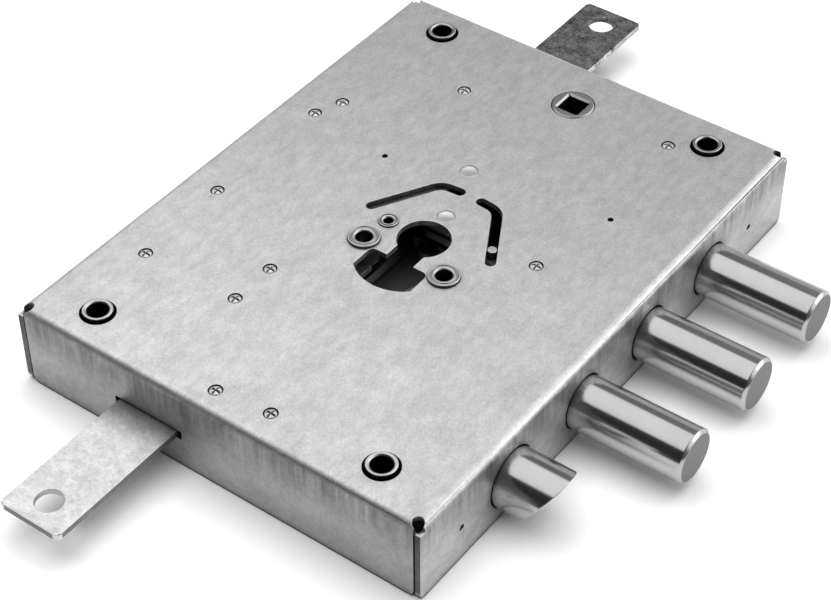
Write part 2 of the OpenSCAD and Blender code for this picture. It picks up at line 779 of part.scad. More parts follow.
// A round deadbolt, with a flat at its rear that sits on the carriage
module deadbolt(y) {
    color("whitesmoke") difference() {
        union() {
            x_rod(bolt_rear_x, bolt_tip_x - bolt_chamfer, y, axis_z, bolt_d / 2);
            translate([bolt_tip_x - bolt_chamfer, y, axis_z]) rotate([0, 90, 0])
                cylinder(r1 = bolt_d / 2, r2 = bolt_d / 2 - bolt_chamfer, h = bolt_chamfer, $fn = fine);
        }
        translate([bolt_rear_x - past, y - bolt_d, axis_z - bolt_d])
            cube([carriage_end_x + slide_gap + past - bolt_rear_x, 2 * bolt_d, bolt_d - flat_drop]);
        post([bolt_screw_x, y], bolt_screw_r + fit_gap, carriage_z, bolt_screw_end_z + past);
    }
}

// Deadbolt on the handle's side
module deadbolt_top() {
    deadbolt(bolts_y[0]);
}

// Deadbolt between the two others
module deadbolt_middle() {
    deadbolt(bolts_y[1]);
}

// Deadbolt next to the latch
module deadbolt_bottom() {
    deadbolt(bolts_y[2]);
}

// Three screws that hold the deadbolts on the carriage
module bolt_screws() {
    color("silver") for (y = bolts_y)
        flat_screw([bolt_screw_x, y], carriage_z, bolt_screw_r, bolt_screw_end_z - carriage_z);
}

// Two pins on the carriage that drive the rods
module rod_drive_pins() {
    color("silver") for (at = drives_at) post(at, pin_r, carriage_z, lever_z - 2 * slide_gap);
}

// Outline of a rod whose middle is x, with its hole and round end corners; sy is 1 for the upper rod and -1
// for the lower one
module rod_outline(x, root_y, end_y, sy) {
    difference() {
        union() {
            rect([x - rod_w / 2, min(root_y, end_y - sy * rod_corner_r)],
                [x + rod_w / 2, max(root_y, end_y - sy * rod_corner_r)]);
            round_rect([x - rod_w / 2, min(end_y, end_y - sy * rod_w)],
                [x + rod_w / 2, max(end_y, end_y - sy * rod_w)], rod_corner_r);
        }
        translate([x, end_y - sy * rod_hole_in]) circle(rod_hole_r, $fn = fine);
    }
}

// Upper rod: slotted foot, guide slot and the length that leaves the case
module upper_rod() {
    climb = upper_drive_at + [-bolt_travel, rod_travel];
    foot_low = upper_drive_at - [0, slot_r + foot_wall];
    foot_left = climb[0] - slot_r - foot_wall - foot_trim;
    foot_right = upper_drive_at[0] + slot_r + foot_wall - foot_trim;
    foot_high = climb[1] + slot_r + foot_wall;
    color("lightgray") plate(rod_z, rod_top) difference() {
        union() {
            rod_outline(upper_rod_x, foot_low[1] + foot_lap, upper_end_y, 1);
            round_rect([foot_left, foot_low[1]], [foot_right, foot_high], foot_corner_r);
        }
        bar(upper_drive_at, climb, 2 * slot_r);
        bar(upper_rod_pin_at, upper_rod_pin_at + [0, rod_travel], 2 * guide_slot_r);
    }
}

// Lower rod, driven the other way; its foot stays clear of the carriage's guide pin
module lower_rod() {
    climb = lower_drive_at + [-bolt_travel, -rod_travel];
    foot_low = climb[1] - slot_r - foot_wall;
    foot_left = climb[0] - slot_r - foot_wall;
    foot_right = lower_drive_at[0] + slot_r + foot_wall - foot_trim;
    foot_high = lower_drive_at[1] + slot_r + foot_wall;
    color("whitesmoke") plate(rod_z, rod_top) difference() {
        union() {
            rod_outline(lower_rod_x, foot_high - foot_lap, lower_end_y, -1);
            round_rect([foot_left, foot_low], [foot_right, foot_high], foot_corner_r);
        }
        bar(lower_drive_at, climb, 2 * slot_r);
        bar(lower_rod_pins_at[0], lower_rod_pins_at[1] - [0, rod_travel], 2 * guide_slot_r);
        bar(carriage_pin_at, carriage_pin_at - [0, rod_travel], 2 * (carriage_collar_r + free_gap));
    }
}

// Detent lever: long hub, arm over the rods' feet and a head with the belly that the cam lifts
module detent_lever() {
    head_x = detent_stud_at[0] - 6;
    head_end_x = detent_stud_at[0] + 11.5;
    head_end_y = detent_stud_at[1] + stud_r + 1.5;
    color("lightgray") difference() {
        union() {
            plate(lever_z, lever_z + lever_t) {
                bar(detent_pivot_at, [head_x + 3, detent_stud_at[1]], lever_w);
                round_rect([head_x, belly_y], [head_end_x, head_end_y], foot_corner_r);
            }
            post(detent_pivot_at, lever_hub_r, lever_z, inner_z - 2 * slide_gap);
        }
        post(detent_pivot_at, pivot_r + pin_gap, lever_z - past, inner_z + past);
        post(detent_stud_at, stud_r + fit_gap, lever_z - past, lever_z + lever_t + past);
    }
}

// Stud on the lever that drops into the carriage's notches
module detent_stud() {
    color("silver") post(detent_stud_at, stud_r, carriage_z - slide_gap, lever_z + lever_t);
}

// Unit vector along a
function unit(a) = a / norm(a);

// A ring of points round p, square to the direction t, with "up" the spring's own axis
function wire_ring(p, t, up, r, sides) =
    let (side = unit(cross(t, up)), rise = cross(side, t))
    [for (k = [0 : sides - 1]) p + r * (cos(360 * k / sides) * side + sin(360 * k / sides) * rise)];

// Direction of the wire at point i
function wire_dir(pts, i) = unit(pts[min(i + 1, len(pts) - 1)] - pts[max(i - 1, 0)]);

// A wire swept along a list of points round an axis "up", as one closed tube
module wire(pts, up, d) {
    sides = 6;
    n = len(pts);
    rings = [for (i = [0 : n - 1]) each wire_ring(pts[i], wire_dir(pts, i), up, d / 2, sides)];
    walls = [for (i = [0 : n - 2], k = [0 : sides - 1])
        let (a = i * sides + k, b = i * sides + (k + 1) % sides)
        each [[a, b, b + sides], [a, b + sides, a + sides]]];
    caps = concat([for (k = [1 : sides - 2]) [0, k + 1, k]],
        [for (k = [1 : sides - 2]) [(n - 1) * sides, (n - 1) * sides + k, (n - 1) * sides + k + 1]]);
    polyhedron(points = rings, faces = concat(walls, caps), convexity = 10);
}

// Points of a coil: radius r, from angle a0 over the given turns, climbing pitch each turn, 8 points a turn
function coil(r, a0, turns, pitch) =
    let (steps = round(8 * abs(turns)))
    [for (i = [0 : steps])
        let (t = i / steps)
        [r * cos(a0 + 360 * turns * t), r * sin(a0 + 360 * turns * t), abs(turns) * pitch * t]];

// Least gap between neighbouring curls, less the wire, measured on the points
function least_gap(pts, d) =
    min([for (i = [0 : len(pts) - 1], j = [i + 6 : 1 : len(pts) - 1]) norm(pts[i] - pts[j])]) - d;

torsion_pitch = wire_d + curl_gap;
torsion_r = post_r + wire_d / 2 + coil_gap;

// Torsion spring of the detent: round its post, one leg on the rear flange and one on the lever
detent_coil_z = lever_z + lever_t / 2;
detent_coil = [for (p = coil(torsion_r, 90, spring_turns, torsion_pitch)) p
    + [spring_post_at[0], spring_post_at[1], detent_coil_z]];
detent_leg_y = detent_pivot_at[1] + lever_w / 2 + wire_d / 2 + leg_gap;
detent_leg = 4 * torsion_r;
detent_path = concat(
    [[spring_post_at[0] + detent_leg, detent_leg_y, detent_coil_z],
        [spring_post_at[0] + 2.4 * torsion_r, spring_post_at[1] + torsion_r / 2, detent_coil_z]],
    detent_coil,
    [[inner_rear_x + leg_gap, spring_post_at[1] + torsion_r, detent_coil_z + spring_turns * torsion_pitch]]);

module detent_spring() {
    color("darkslategray") wire(detent_path, [0, 0, 1], wire_d);
}

// Torsion spring of the handle: round its post, one leg on the follower's arm and one up to the end flange
follower_coil_z = follower_arm_z + follower_arm_t / 2;
follower_leg_y = follower_pin_at[1] + follower_eye_r + wire_d / 2 + leg_gap;
follower_coil = [for (p = coil(torsion_r, 90, -handle_turns, -torsion_pitch)) p
    + [handle_post_at[0], handle_post_at[1], follower_coil_z]];
follower_path = concat(
    [[follower_pin_at[0] - 1, follower_leg_y, follower_coil_z],
        [handle_post_at[0] - torsion_r - post_r, follower_leg_y, follower_coil_z]],
    follower_coil,
    [[handle_post_at[0] - torsion_r, inner_top_y - leg_gap, follower_coil_z - handle_turns * torsion_pitch]]);

module follower_spring() {
    color("darkslategray") wire(follower_path, [0, 0, 1], wire_d);
}

// Compression spring round the latch tail, from the bracket to the latch's shoulder
latch_spring_r = tail_d / 2 + wire_d / 2 + coil_gap;
latch_spring_len = latch_rear_x - bracket_end_x - wire_d - slide_gap;
latch_path = [for (p = coil(latch_spring_r, 0, latch_spring_turns, latch_spring_len / latch_spring_turns))
    [bracket_end_x + (wire_d + slide_gap) / 2 + p[2], latch_y + p[0], axis_z + p[1]]];

module latch_spring() {
    color("darkslategray") wire(latch_path, [1, 0, 0], wire_d);
}

echo(least_gaps_of_the_springs = [for (p = [detent_path, follower_path, latch_path]) least_gap(p, wire_d)]);

// Square-holed hub of the handle, with a boss in each face of the case and an arm for the link
module follower() {
    boss_low = slide_gap;
    boss_high = case_t + follower_rise;
    edge = 0.6;
    color("darkgray") difference() {
        union() {
            post(follower_at, hub_r, cover_t + slide_gap, inner_z - slide_gap);
            post(follower_at, boss_r, boss_low, boss_high - edge);
            translate([follower_at[0], follower_at[1], boss_high - edge])
                cylinder(r1 = boss_r, r2 = boss_r - edge, h = edge, $fn = fine);
            plate(follower_arm_z, follower_arm_z + follower_arm_t)
                bar(follower_at, follower_pin_at, 2 * follower_eye_r);
        }
        translate([follower_at[0] - square_w / 2, follower_at[1] - square_w / 2, -past])
            cube([square_w, square_w, case_t + 3 * past]);
        for (a = [0 : 90 : 270])
            translate([follower_at[0], follower_at[1], boss_high]) rotate([0, 0, a])
                translate([square_w / 2, square_w / 2, 0]) rotate([90, 0, 0]) linear_extrude(square_w)
                    polygon([[-past, 0.1], [edge + 0.1, 0.1], [0, -edge], [-past, -edge]]);
        post(follower_pin_at, follower_pin_r + fit_gap, follower_arm_z - past, link_z);
    }
}

// Pin on the follower's arm that lifts the link
module follower_pin() {
    color("silver") post(follower_pin_at, follower_pin_r, follower_arm_z, link_top + link_gap / 2);
}

// Sliding link from the follower to the latch
module latch_link() {
    waist = [link_x, link_stud_at[1] - waist_drop];
    knee = [link_x, follower_y - 9];
    ankle = latch_stud_at + [-5.5, 4];
    latch_eye_r = stud_r + 4.2;
    color("gainsboro") plate(link_z, link_top) difference() {
        union() {
            bar(follower_pin_at, follower_slot_end, 2 * link_eye_r);
            bar(follower_slot_end, knee, link_w + 1);
            bar(knee, waist, link_w);
            bar([link_x, link_stud_at[1]], link_stud_at, link_w + 1);
            bar(waist, ankle, link_w + 1);
            bar(latch_stud_at, latch_slot_end, 2 * latch_eye_r);
        }
        bar(follower_pin_at, follower_slot_end, 2 * (follower_pin_r + slide_gap));
        bar(latch_stud_at, latch_slot_end, 2 * (stud_r + slide_gap));
        translate(link_stud_at) circle(link_stud_r + fit_gap, $fn = small);
    }
}

// Stud of the link that runs in the bent slot
module link_stud() {
    color("whitesmoke") post(link_stud_at, link_stud_r, link_z, case_t - 2 * slide_gap);
}

// Bevelled latch with its tail; the bevel faces the underside
module latch_bolt() {
    top_z = axis_z + latch_d / 2;
    low_z = axis_z - latch_d / 2;
    color("whitesmoke") difference() {
        union() {
            x_rod(latch_rear_x, latch_tip_x, latch_y, axis_z, latch_d / 2);
            x_rod(latch_tail_x, latch_rear_x + 1, latch_y, axis_z, tail_d / 2);
        }
        translate([0, latch_y + latch_d, 0]) rotate([90, 0, 0]) linear_extrude(2 * latch_d)
            polygon([[latch_tip_x + latch_bevel * past, top_z + past],
                [latch_tip_x - latch_bevel * (latch_d + past), low_z - past],
                [latch_tip_x + latch_d, low_z - past], [latch_tip_x + latch_d, top_z + past]]);
        post(latch_stud_at, stud_r + fit_gap, axis_z, top_z + past);
    }
}

// Stud on the latch that the link draws back
module latch_stud() {
    color("silver") post(latch_stud_at, stud_r, axis_z, link_top + link_gap / 2);
}

case_body();
cover_plate();
cover_screws();
cover_posts();
corner_bushes();
cylinder_bushes();
small_bush();
drill_plate();
plate_rivets();
bolt_guide_plate();
rod_guide_pins();
carriage_guide_pin();
detent_pivot();
link_guide_pin();
bracket_pin();
latch_bracket();
bolt_carriage();
deadbolt_top();
deadbolt_middle();
deadbolt_bottom();
bolt_screws();
rod_drive_pins();
upper_rod();
lower_rod();
detent_lever();
detent_stud();
detent_spring();
follower();
follower_pin();
follower_spring();
latch_link();
link_stud();
latch_bolt();
latch_stud();
latch_spring();
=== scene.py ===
"""Finished looks of a multipoint door lock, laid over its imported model.

Sizes are in millimetres, as in the part's source, and become metres when a mesh is made.
The origin is the axis of the profile cylinder at the underside of the case, +X the throw of the
bolts, +Y the way of the upper rod and +Z out of the visible face.
"""
from __future__ import annotations

import json
import logging
import math
from collections.abc import Callable
from dataclasses import dataclass, field
from enum import Enum

import bmesh
import bpy
import numpy as np
from mathutils import Matrix, Vector
from mathutils.geometry import delaunay_2d_cdt

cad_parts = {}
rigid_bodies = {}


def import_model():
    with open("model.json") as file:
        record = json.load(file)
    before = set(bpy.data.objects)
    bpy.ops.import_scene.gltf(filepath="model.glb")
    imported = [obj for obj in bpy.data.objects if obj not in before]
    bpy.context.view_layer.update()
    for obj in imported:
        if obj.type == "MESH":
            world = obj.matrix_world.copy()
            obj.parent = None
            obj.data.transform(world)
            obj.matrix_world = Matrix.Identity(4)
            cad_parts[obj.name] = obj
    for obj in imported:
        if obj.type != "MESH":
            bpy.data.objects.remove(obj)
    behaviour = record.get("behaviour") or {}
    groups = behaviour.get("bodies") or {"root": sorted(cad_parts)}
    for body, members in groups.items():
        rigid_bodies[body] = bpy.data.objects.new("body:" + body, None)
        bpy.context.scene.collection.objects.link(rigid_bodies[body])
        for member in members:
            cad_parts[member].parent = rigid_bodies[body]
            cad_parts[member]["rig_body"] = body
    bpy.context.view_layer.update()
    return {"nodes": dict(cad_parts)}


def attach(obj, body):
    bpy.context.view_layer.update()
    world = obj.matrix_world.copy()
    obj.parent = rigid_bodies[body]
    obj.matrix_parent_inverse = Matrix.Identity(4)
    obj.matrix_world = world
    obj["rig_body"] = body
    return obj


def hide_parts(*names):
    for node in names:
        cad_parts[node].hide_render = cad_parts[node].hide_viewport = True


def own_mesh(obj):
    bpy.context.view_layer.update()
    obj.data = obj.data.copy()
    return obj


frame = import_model()

MM = 0.001
LOG = logging.getLogger("lock")

# Short names of types: a place in a plane, a spot in space, and what a node's input can take.
Socket = bpy.types.NodeSocket
Node = bpy.types.Node
Tree = bpy.types.NodeTree
Piece = bpy.types.Object
Work = bmesh.types.BMesh
Edge = bmesh.types.BMEdge
Face = bmesh.types.BMFace
Place = tuple[float, float]
Spot = tuple[float, float, float]
Value = Socket | float | Spot
Change = Callable[[Work], None]


def in_scene(name: str, data: bpy.types.ID) -> Piece:
    """Make an object of its data and link it to the scene."""
    piece = bpy.data.objects.new(name, data)
    bpy.context.scene.collection.objects.link(piece)
    return piece


# Radius in millimetres of the ring next to a pole; points round small and round large pieces.
POLE_R = 0.01
FEW, MANY = 64, 128


class Axis(Enum):
    """Axis round which a turned piece is made."""

    X = "x"
    Z = "z"


@dataclass
class Surface:
    """A closed surface: points in millimetres, four- and three-sided faces, and point marks."""

    points: np.ndarray
    quads: np.ndarray
    tris: np.ndarray
    marks: dict[str, np.ndarray] = field(default_factory=dict)


def joined(surfaces: list[Surface]) -> Surface:
    """Put several surfaces into one.

    Args:
        surfaces: The surfaces, each closed by itself.

    Returns:
        One surface; the face indices of each are raised by the points that come before it.
    """
    starts = np.cumsum([0] + [len(s.points) for s in surfaces[:-1]])
    names = sorted(set.union(*[set(s.marks) for s in surfaces]))
    marks = {name: np.concatenate([s.marks.get(name, np.zeros(len(s.points))) for s in surfaces])
             for name in names}
    return Surface(np.concatenate([s.points for s in surfaces]),
                   np.concatenate([s.quads + n for s, n in zip(surfaces, starts)]),
                   np.concatenate([s.tris + n for s, n in zip(surfaces, starts)]), marks)


def rounded(corners: np.ndarray, radius: float, steps: int = 4, loop: bool = False) -> np.ndarray:
    """Round the corners of a profile.

    Each corner gives way to a parabola: with t from 0 to 1, (1 - t)^2 start + 2 t (1 - t) corner
    + t^2 end, where start and end lie on the two edges, at most the radius and 0.45 of the edge
    away from the corner. The ends of an open profile stay.

    Args:
        corners: Points of the profile, one a row.
        radius: Distance from the corner at which the rounding starts.
        steps: Points on each rounding.
        loop: Whether the profile closes on itself.

    Returns:
        The points of the rounded profile.
    """
    before, after = np.roll(corners, 1, 0) - corners, np.roll(corners, -1, 0) - corners
    len_b, len_a = (np.linalg.norm(v, axis=1, keepdims=True) for v in (before, after))
    start = corners + before / np.maximum(len_b, 1e-9) * np.minimum(radius, 0.45 * len_b)
    end = corners + after / np.maximum(len_a, 1e-9) * np.minimum(radius, 0.45 * len_a)
    t = np.linspace(0, 1, steps)[None, :, None]
    arcs = ((1 - t) ** 2 * start[:, None] + 2 * t * (1 - t) * corners[:, None]
            + t ** 2 * end[:, None])
    if loop:
        return arcs.reshape(-1, corners.shape[1])
    return np.concatenate([corners[:1], arcs[1:-1].reshape(-1, corners.shape[1]), corners[-1:]])


def grid_faces(rings: int, count: int, loop: bool = False) -> np.ndarray:
    """Faces of a grid whose columns close on themselves.

    Args:
        rings: Rows of points.
        count: Points in a row.
        loop: Whether the last row joins the first one.

    Returns:
        Point indices of the four-sided faces, which face outwards when the rows climb the axis.
    """
    i, k = np.meshgrid(np.arange(rings if loop else rings - 1), np.arange(count), indexing="ij")
    nxt, up = (k + 1) % count, (i + 1) % rings
    corners = [i * count + k, i * count + nxt, up * count + nxt, up * count + k]
    return np.stack(corners, -1).reshape(-1, 4)


def cap_faces(rings: int, count: int) -> np.ndarray:
    """Fans of a grid's first and last row round two poles.

    Args:
        rings: Rows of points.
        count: Points in a row.

    Returns:
        Point indices of the three-sided faces; the poles are the two points after the grid's.
    """
    k, n, last = np.arange(count), rings * count, (rings - 1) * count
    nxt = (k + 1) % count
    return np.concatenate([np.stack([np.full(count, n), nxt, k], -1),
                           np.stack([np.full(count, n + 1), last + k, last + nxt], -1)])


def turned(profile: np.ndarray, count: int = 96, loop: bool = False) -> Surface:
    """Turn a profile round the Z axis.

    A point is (r cos a, r sin a, s) for each row (s, r) of the profile and each angle a. An open
    profile is closed by a pole at both ends; a looped one is a ring with a bore.

    Args:
        profile: Rows of height and radius, from the low end up outside.
        count: Points round the axis.
        loop: Whether the profile closes on itself.

    Returns:
        The closed surface, with its radius in metres as the mark turn_r.
    """
    s, r = profile[:, 0:1], profile[:, 1:2]
    a = np.arange(count)[None, :] * 2 * math.pi / count
    points = np.stack([r * np.cos(a), r * np.sin(a), s + 0 * a], -1).reshape(-1, 3)
    quads, tris = grid_faces(len(profile), count, loop), np.zeros((0, 3), int)
    if not loop:
        tris = cap_faces(len(profile), count)
        points = np.concatenate([points, [[0, 0, profile[0, 0]], [0, 0, profile[-1, 0]]]])
    return Surface(points, quads, tris, {"turn_r": np.hypot(points[:, 0], points[:, 1]) * MM})


def laid(surface: Surface, axis: Axis, at: Spot) -> Surface:
    """Lay a turned surface along an axis.

    Args:
        surface: Surface turned round Z.
        axis: X swaps the coordinates round (z, x, y), which keeps the faces outward.
        at: Where its origin goes.

    Returns:
        The surface in its place.
    """
    points = surface.points[:, [2, 0, 1]] if axis is Axis.X else surface.points
    return Surface(points + np.array(at, float), surface.quads, surface.tris, surface.marks)


def through(points: np.ndarray, steps: int = 6) -> np.ndarray:
    """Draw a smooth line through points.

    Between two neighbours p1 and p2 with p0 before and p3 after them, the place at t is
    half of 2 p1 + (p2 - p0) t + (2 p0 - 5 p1 + 4 p2 - p3) t^2 + (3 p1 - p0 - 3 p2 + p3) t^3.

    Args:
        points: The points, one a row.
        steps: Pieces between two of them.

    Returns:
        The points of the line.
    """
    p = np.concatenate([2 * points[:1] - points[1:2], points, 2 * points[-1:] - points[-2:-1]])
    p0, p1, p2, p3 = (p[i:len(p) - 3 + i, None] for i in range(4))
    t = np.linspace(0, 1, steps, endpoint=False)[None, :, None]
    line = (2 * p1 + (p2 - p0) * t + (2 * p0 - 5 * p1 + 4 * p2 - p3) * t ** 2
            + (3 * p1 - p0 - 3 * p2 + p3) * t ** 3) / 2
    return np.concatenate([line.reshape(-1, 3), points[-1:]])


def wire(path: np.ndarray, up: Spot, d: float, sides: int = 12) -> Surface:
    """Carry a circle along a path.

    At each point with direction t, side is t x up and rise is side x t, both of length 1; a point
    is path + r (cos a side + sin a rise). Both ends close on a pole.

    Args:
        path: Points of the wire's middle line.
        up: The coil's own axis.
        d: Wire diameter.
        sides: Points round the wire.

    Returns:
        The closed wire.
    """
    t = np.gradient(path, axis=0)
    t /= np.linalg.norm(t, axis=1, keepdims=True)
    side = np.cross(t, np.array(up, float))
    side /= np.linalg.norm(side, axis=1, keepdims=True)
    rise = np.cross(side, t)
    a = -np.arange(sides)[None, :, None] * 2 * math.pi / sides
    ring = np.cos(a) * side[:, None] + np.sin(a) * rise[:, None]
    points = (path[:, None] + d / 2 * ring).reshape(-1, 3)
    points = np.concatenate([points, path[:1], path[-1:]])
    return Surface(points, grid_faces(len(path), sides), cap_faces(len(path), sides))


def coil(r: float, start: float, turns: float, climb: float) -> np.ndarray:
    """Points of a coil round Z: radius r, from the start angle in degrees, climbing evenly."""
    t = np.linspace(0, 1, round(8 * abs(turns)) + 1)
    a = np.radians(start + 360 * turns * t)
    return np.stack([r * np.cos(a), r * np.sin(a), climb * t], -1)


@dataclass
class Knots:
    """A node tree with short calls for adding nodes and links."""

    tree: Tree

    def add(self, kind: str, **values: str | int | bool | Tree) -> Node:
        """Add a node and set its properties.

        Args:
            kind: Blender's name of the node, without ShaderNode.
            **values: The properties.

        Returns:
            The node.
        """
        node = self.tree.nodes.new("ShaderNode" + kind)
        for name, value in values.items():
            setattr(node, name, value)
        return node

    def feed(self, node: Node, takes: dict[int | str, Value]) -> None:
        """Feed a node's inputs.

        Args:
            node: The node.
            takes: Its inputs by name or number; each gets a link or its own value.
        """
        for name, value in takes.items():
            if isinstance(value, Socket):
                self.tree.links.new(value, node.inputs[name])
            else:
                node.inputs[name].default_value = value

    def result(self, node: Node, output: int | str, takes: dict[int | str, Value]) -> Socket:
        """Feed a node's inputs and give back one of its outputs."""
        self.feed(node, takes)
        return node.outputs[output]

    def group(self, tree: Tree, **takes: Value) -> dict[str, Socket]:
        """Add a group, feed its inputs by name and give back its outputs by name."""
        node = self.add("Group", node_tree=tree)
        self.feed(node, takes)
        return {socket.name: socket for socket in node.outputs}

    def math(self, operation: str, *values: Value, clamp: bool = False) -> Socket:
        """Result of a Math node."""
        node = self.add("Math", operation=operation, use_clamp=clamp)
        return self.result(node, 0, dict(enumerate(values)))

    def times(self, value: Value, *others: Value) -> Socket:
        """Product of all values, taken from left to right."""
        for other in others:
            value = self.math("MULTIPLY", value, other)
        return value

    def mixed(self, a: Socket, a_share: float, b: Socket, b_share: float) -> Socket:
        """Sum of two values, each times its share."""
        return self.math("ADD", self.times(a, a_share), self.times(b, b_share))

    def dot(self, way: Socket, other: Value) -> Socket:
        """Dot product of two vectors."""
        node = self.add("VectorMath", operation="DOT_PRODUCT")
        return self.result(node, "Value", {0: way, 1: other})

    def spread(self, value: Socket, low: Value, high: Value, to_low: float = 0.0,
               to_high: float = 1.0, smooth: bool = True) -> Socket:
        """Result of a Map Range node, which holds the value between its ends.

        Args:
            value: The value.
            low: Where it starts to count.
            high: Where it ends.
            to_low: Result at the low end.
            to_high: Result at the high end.
            smooth: Whether it eases in and out.

        Returns:
            The result.
        """
        node = self.add("MapRange", interpolation_type="SMOOTHSTEP" if smooth else "LINEAR")
        return self.result(node, "Result", {"Value": value, "From Min": low, "From Max": high,
                                            "To Min": to_low, "To Max": to_high})

    def noise(self, vector: Socket, scale: Value, detail: float = 3.0, rough: float = 0.55,
              twist: float = 0.0) -> Socket:
        """Factor of a Noise Texture."""
        return self.result(self.add("TexNoise"), "Fac", {
            "Vector": vector, "Scale": scale, "Detail": detail, "Roughness": rough,
            "Distortion": twist})

    def blend(self, mask: Socket, low: Value, high: Value) -> Socket:
        """Result of a Mix node: the low value where the mask is 0, the high one where it is 1."""
        return self.result(self.add("Mix", data_type="FLOAT"), 0, {0: mask, 2: low, 3: high})

    def grey(self, value: Socket) -> Socket:
        """The grey of a value."""
        return self.result(self.add("CombineColor"), "Color", {0: value, 1: value, 2: value})

    def part(self, vector: Socket, axis: str) -> Socket:
        """One part of a vector."""
        return self.result(self.add("SeparateXYZ"), axis, {0: vector})

    def of_piece(self, what: str) -> Socket:
        """The place on the piece in metres (Object), or its normal (Normal)."""
        return self.add("TexCoord").outputs[what]

    def mark(self, name: str) -> Socket:
        """A mark of the mesh."""
        return self.add("Attribute", attribute_name=name).outputs["Fac"]


def new_group(name: str, takes: dict[str, float | Spot],
              gives: list[str]) -> tuple[Knots, dict[str, Socket]]:
    """Start a shader group.

    Args:
        name: The group's name.
        takes: Its inputs and their usual values; a tuple makes a vector.
        gives: Its outputs, all numbers.

    Returns:
        The tree's helper, and the sockets that bring the inputs.
    """
    tree = bpy.data.node_groups.new(name, "ShaderNodeTree")
    for label, value in takes.items():
        kind = "NodeSocketVector" if isinstance(value, tuple) else "NodeSocketFloat"
        socket = tree.interface.new_socket(name=label, in_out="INPUT", socket_type=kind)
        socket.default_value = value
    for label in gives:
        tree.interface.new_socket(name=label, in_out="OUTPUT", socket_type="NodeSocketFloat")
    source = tree.nodes.new("NodeGroupInput")
    return Knots(tree), {socket.name: socket for socket in source.outputs}


def closed_group(k: Knots, gives: dict[str, Socket]) -> Tree:
    """Feed a group's outputs and give back its tree."""
    k.feed(k.tree.nodes.new("NodeGroupOutput"), gives)
    return k.tree


def grain_group() -> Tree:
    """Fine grain of rolled sheet, drawn out along one way, and a coarser cloud over it.

    Returns:
        The group; Grain mixes a fine noise and one 4.5 times coarser, 0.6 to 0.4.
    """
    usual = {"Scale": 900.0, "Stretch": (1.0, 1.0, 1.0)}
    k, take = new_group("rolled_grain", usual, ["Grain", "Cloud"])
    place, scale = k.of_piece("Object"), take["Scale"]
    stretched = k.result(k.add("Mapping"), "Vector", {"Vector": place, "Scale": take["Stretch"]})
    coarse = k.noise(stretched, k.times(scale, 0.22), 3.0, 0.6)
    both = k.mixed(k.noise(stretched, scale, 4.0, 0.7), 0.6, coarse, 0.4)
    cloud = k.noise(place, k.times(scale, 0.045), 4.0, 0.6, 0.6)
    return closed_group(k, {"Grain": k.spread(both, 0.35, 0.65, smooth=False), "Cloud": cloud})


def mottle_group() -> Tree:
    """Patches of a zinc coat.

    Returns:
        The group; Patch is the coat's crystals of uneven tone, Stain the broad stains over them.
    """
    k, take = new_group("zinc_mottle", {"Scale": 60.0}, ["Patch", "Stain"])
    place, scale = k.of_piece("Object"), take["Scale"]
    cells = k.result(k.add("TexVoronoi", feature="SMOOTH_F1"), "Distance",
                     {"Vector": place, "Scale": k.times(scale, 2.2)})
    both = k.mixed(k.noise(place, scale, 5.0, 0.62, 0.8), 0.75, cells, 0.35)
    stains = k.noise(place, k.times(scale, 0.3), 3.0, 0.5, 1.2)
    return closed_group(k, {"Patch": k.spread(both, 0.38, 0.66),
                            "Stain": k.spread(stains, 0.45, 0.72)})


def edge_group() -> Tree:
    """Worn edges.

    Returns:
        The group; Mask is where the face normal and the normal rounded over the radius part,
        broken up by noise.
    """
    k, take = new_group("edge_wear", {"Radius": 0.0006, "Low": 0.02, "High": 0.18}, ["Mask"])
    soft_normal = k.result(k.add("Bevel", samples=4), "Normal", {"Radius": take["Radius"]})
    parted = k.math("SUBTRACT", 1.0, k.dot(soft_normal, k.add("NewGeometry").outputs["Normal"]))
    broken = k.math("ADD", k.noise(k.of_piece("Object"), 700.0), 0.5)
    return closed_group(k, {"Mask": k.spread(k.times(parted, broken), take["Low"], take["High"])})


def corner_shade_group() -> Tree:
    """Painted shade in corners and holes, from ambient occlusion.

    Returns:
        The group; Mask is how much of the sky a point misses within the distance.
    """
    k, take = new_group("corner_shade", {"Distance": 0.004}, ["Mask"])
    open_sky = k.result(k.add("AmbientOcclusion", samples=6), "AO", {"Distance": take["Distance"]})
    return closed_group(k, {"Mask": k.spread(open_sky, 0.25, 0.95, 1.0, 0.0)})


def facing_group() -> Tree:
    """Sides of a piece, told apart by their normals.

    Returns:
        The group; Along X and Along Y are faces that look along these axes (folds towards Y count
        in part), Wall faces that stand up, and Rings the lathe's rings on turned ends.
    """
    k, take = new_group("side_faces", {"Scale": 2600.0}, ["Along X", "Along Y", "Wall", "Rings"])
    x, y, z = (k.math("ABSOLUTE", k.part(k.of_piece("Normal"), axis)) for axis in "XYZ")
    rings = k.result(k.add("TexNoise", noise_dimensions="1D"), "Fac",
                     {"W": k.mark("turn_r"), "Scale": take["Scale"]})
    return closed_group(k, {"Along X": k.spread(x, 0.86, 0.96), "Along Y": k.spread(y, 0.3, 0.96),
                            "Wall": k.spread(z, 0.2, 0.75, 1.0, 0.0), "Rings": rings})


@dataclass
class Groups:
    """The shared shader groups, each built once."""

    grain: Tree = field(default_factory=grain_group)
    mottle: Tree = field(default_factory=mottle_group)
    edge: Tree = field(default_factory=edge_group)
    corner_shade: Tree = field(default_factory=corner_shade_group)
    facing: Tree = field(default_factory=facing_group)


# Grain drawn out along an axis, marks of the folding, heights in metres between which these and
# the dark foot line (painted shadow and dirt) fade, and tone and roughness of turned ends and
# clouds.
ALONG_X = (0.12, 1.0, 1.0)
ALONG_Y = (1.0, 0.12, 1.0)
ALONG_Z = (1.0, 1.0, 0.08)
STREAK_SCALE = 420.0
STREAK_FADE = (0.012, 0.027)
FOOT_FADE = (0.0004, 0.0007)
RING_TONE = 0.12
CUT_END_ROUGH = 0.5
CLOUD_ROUGH = 0.06


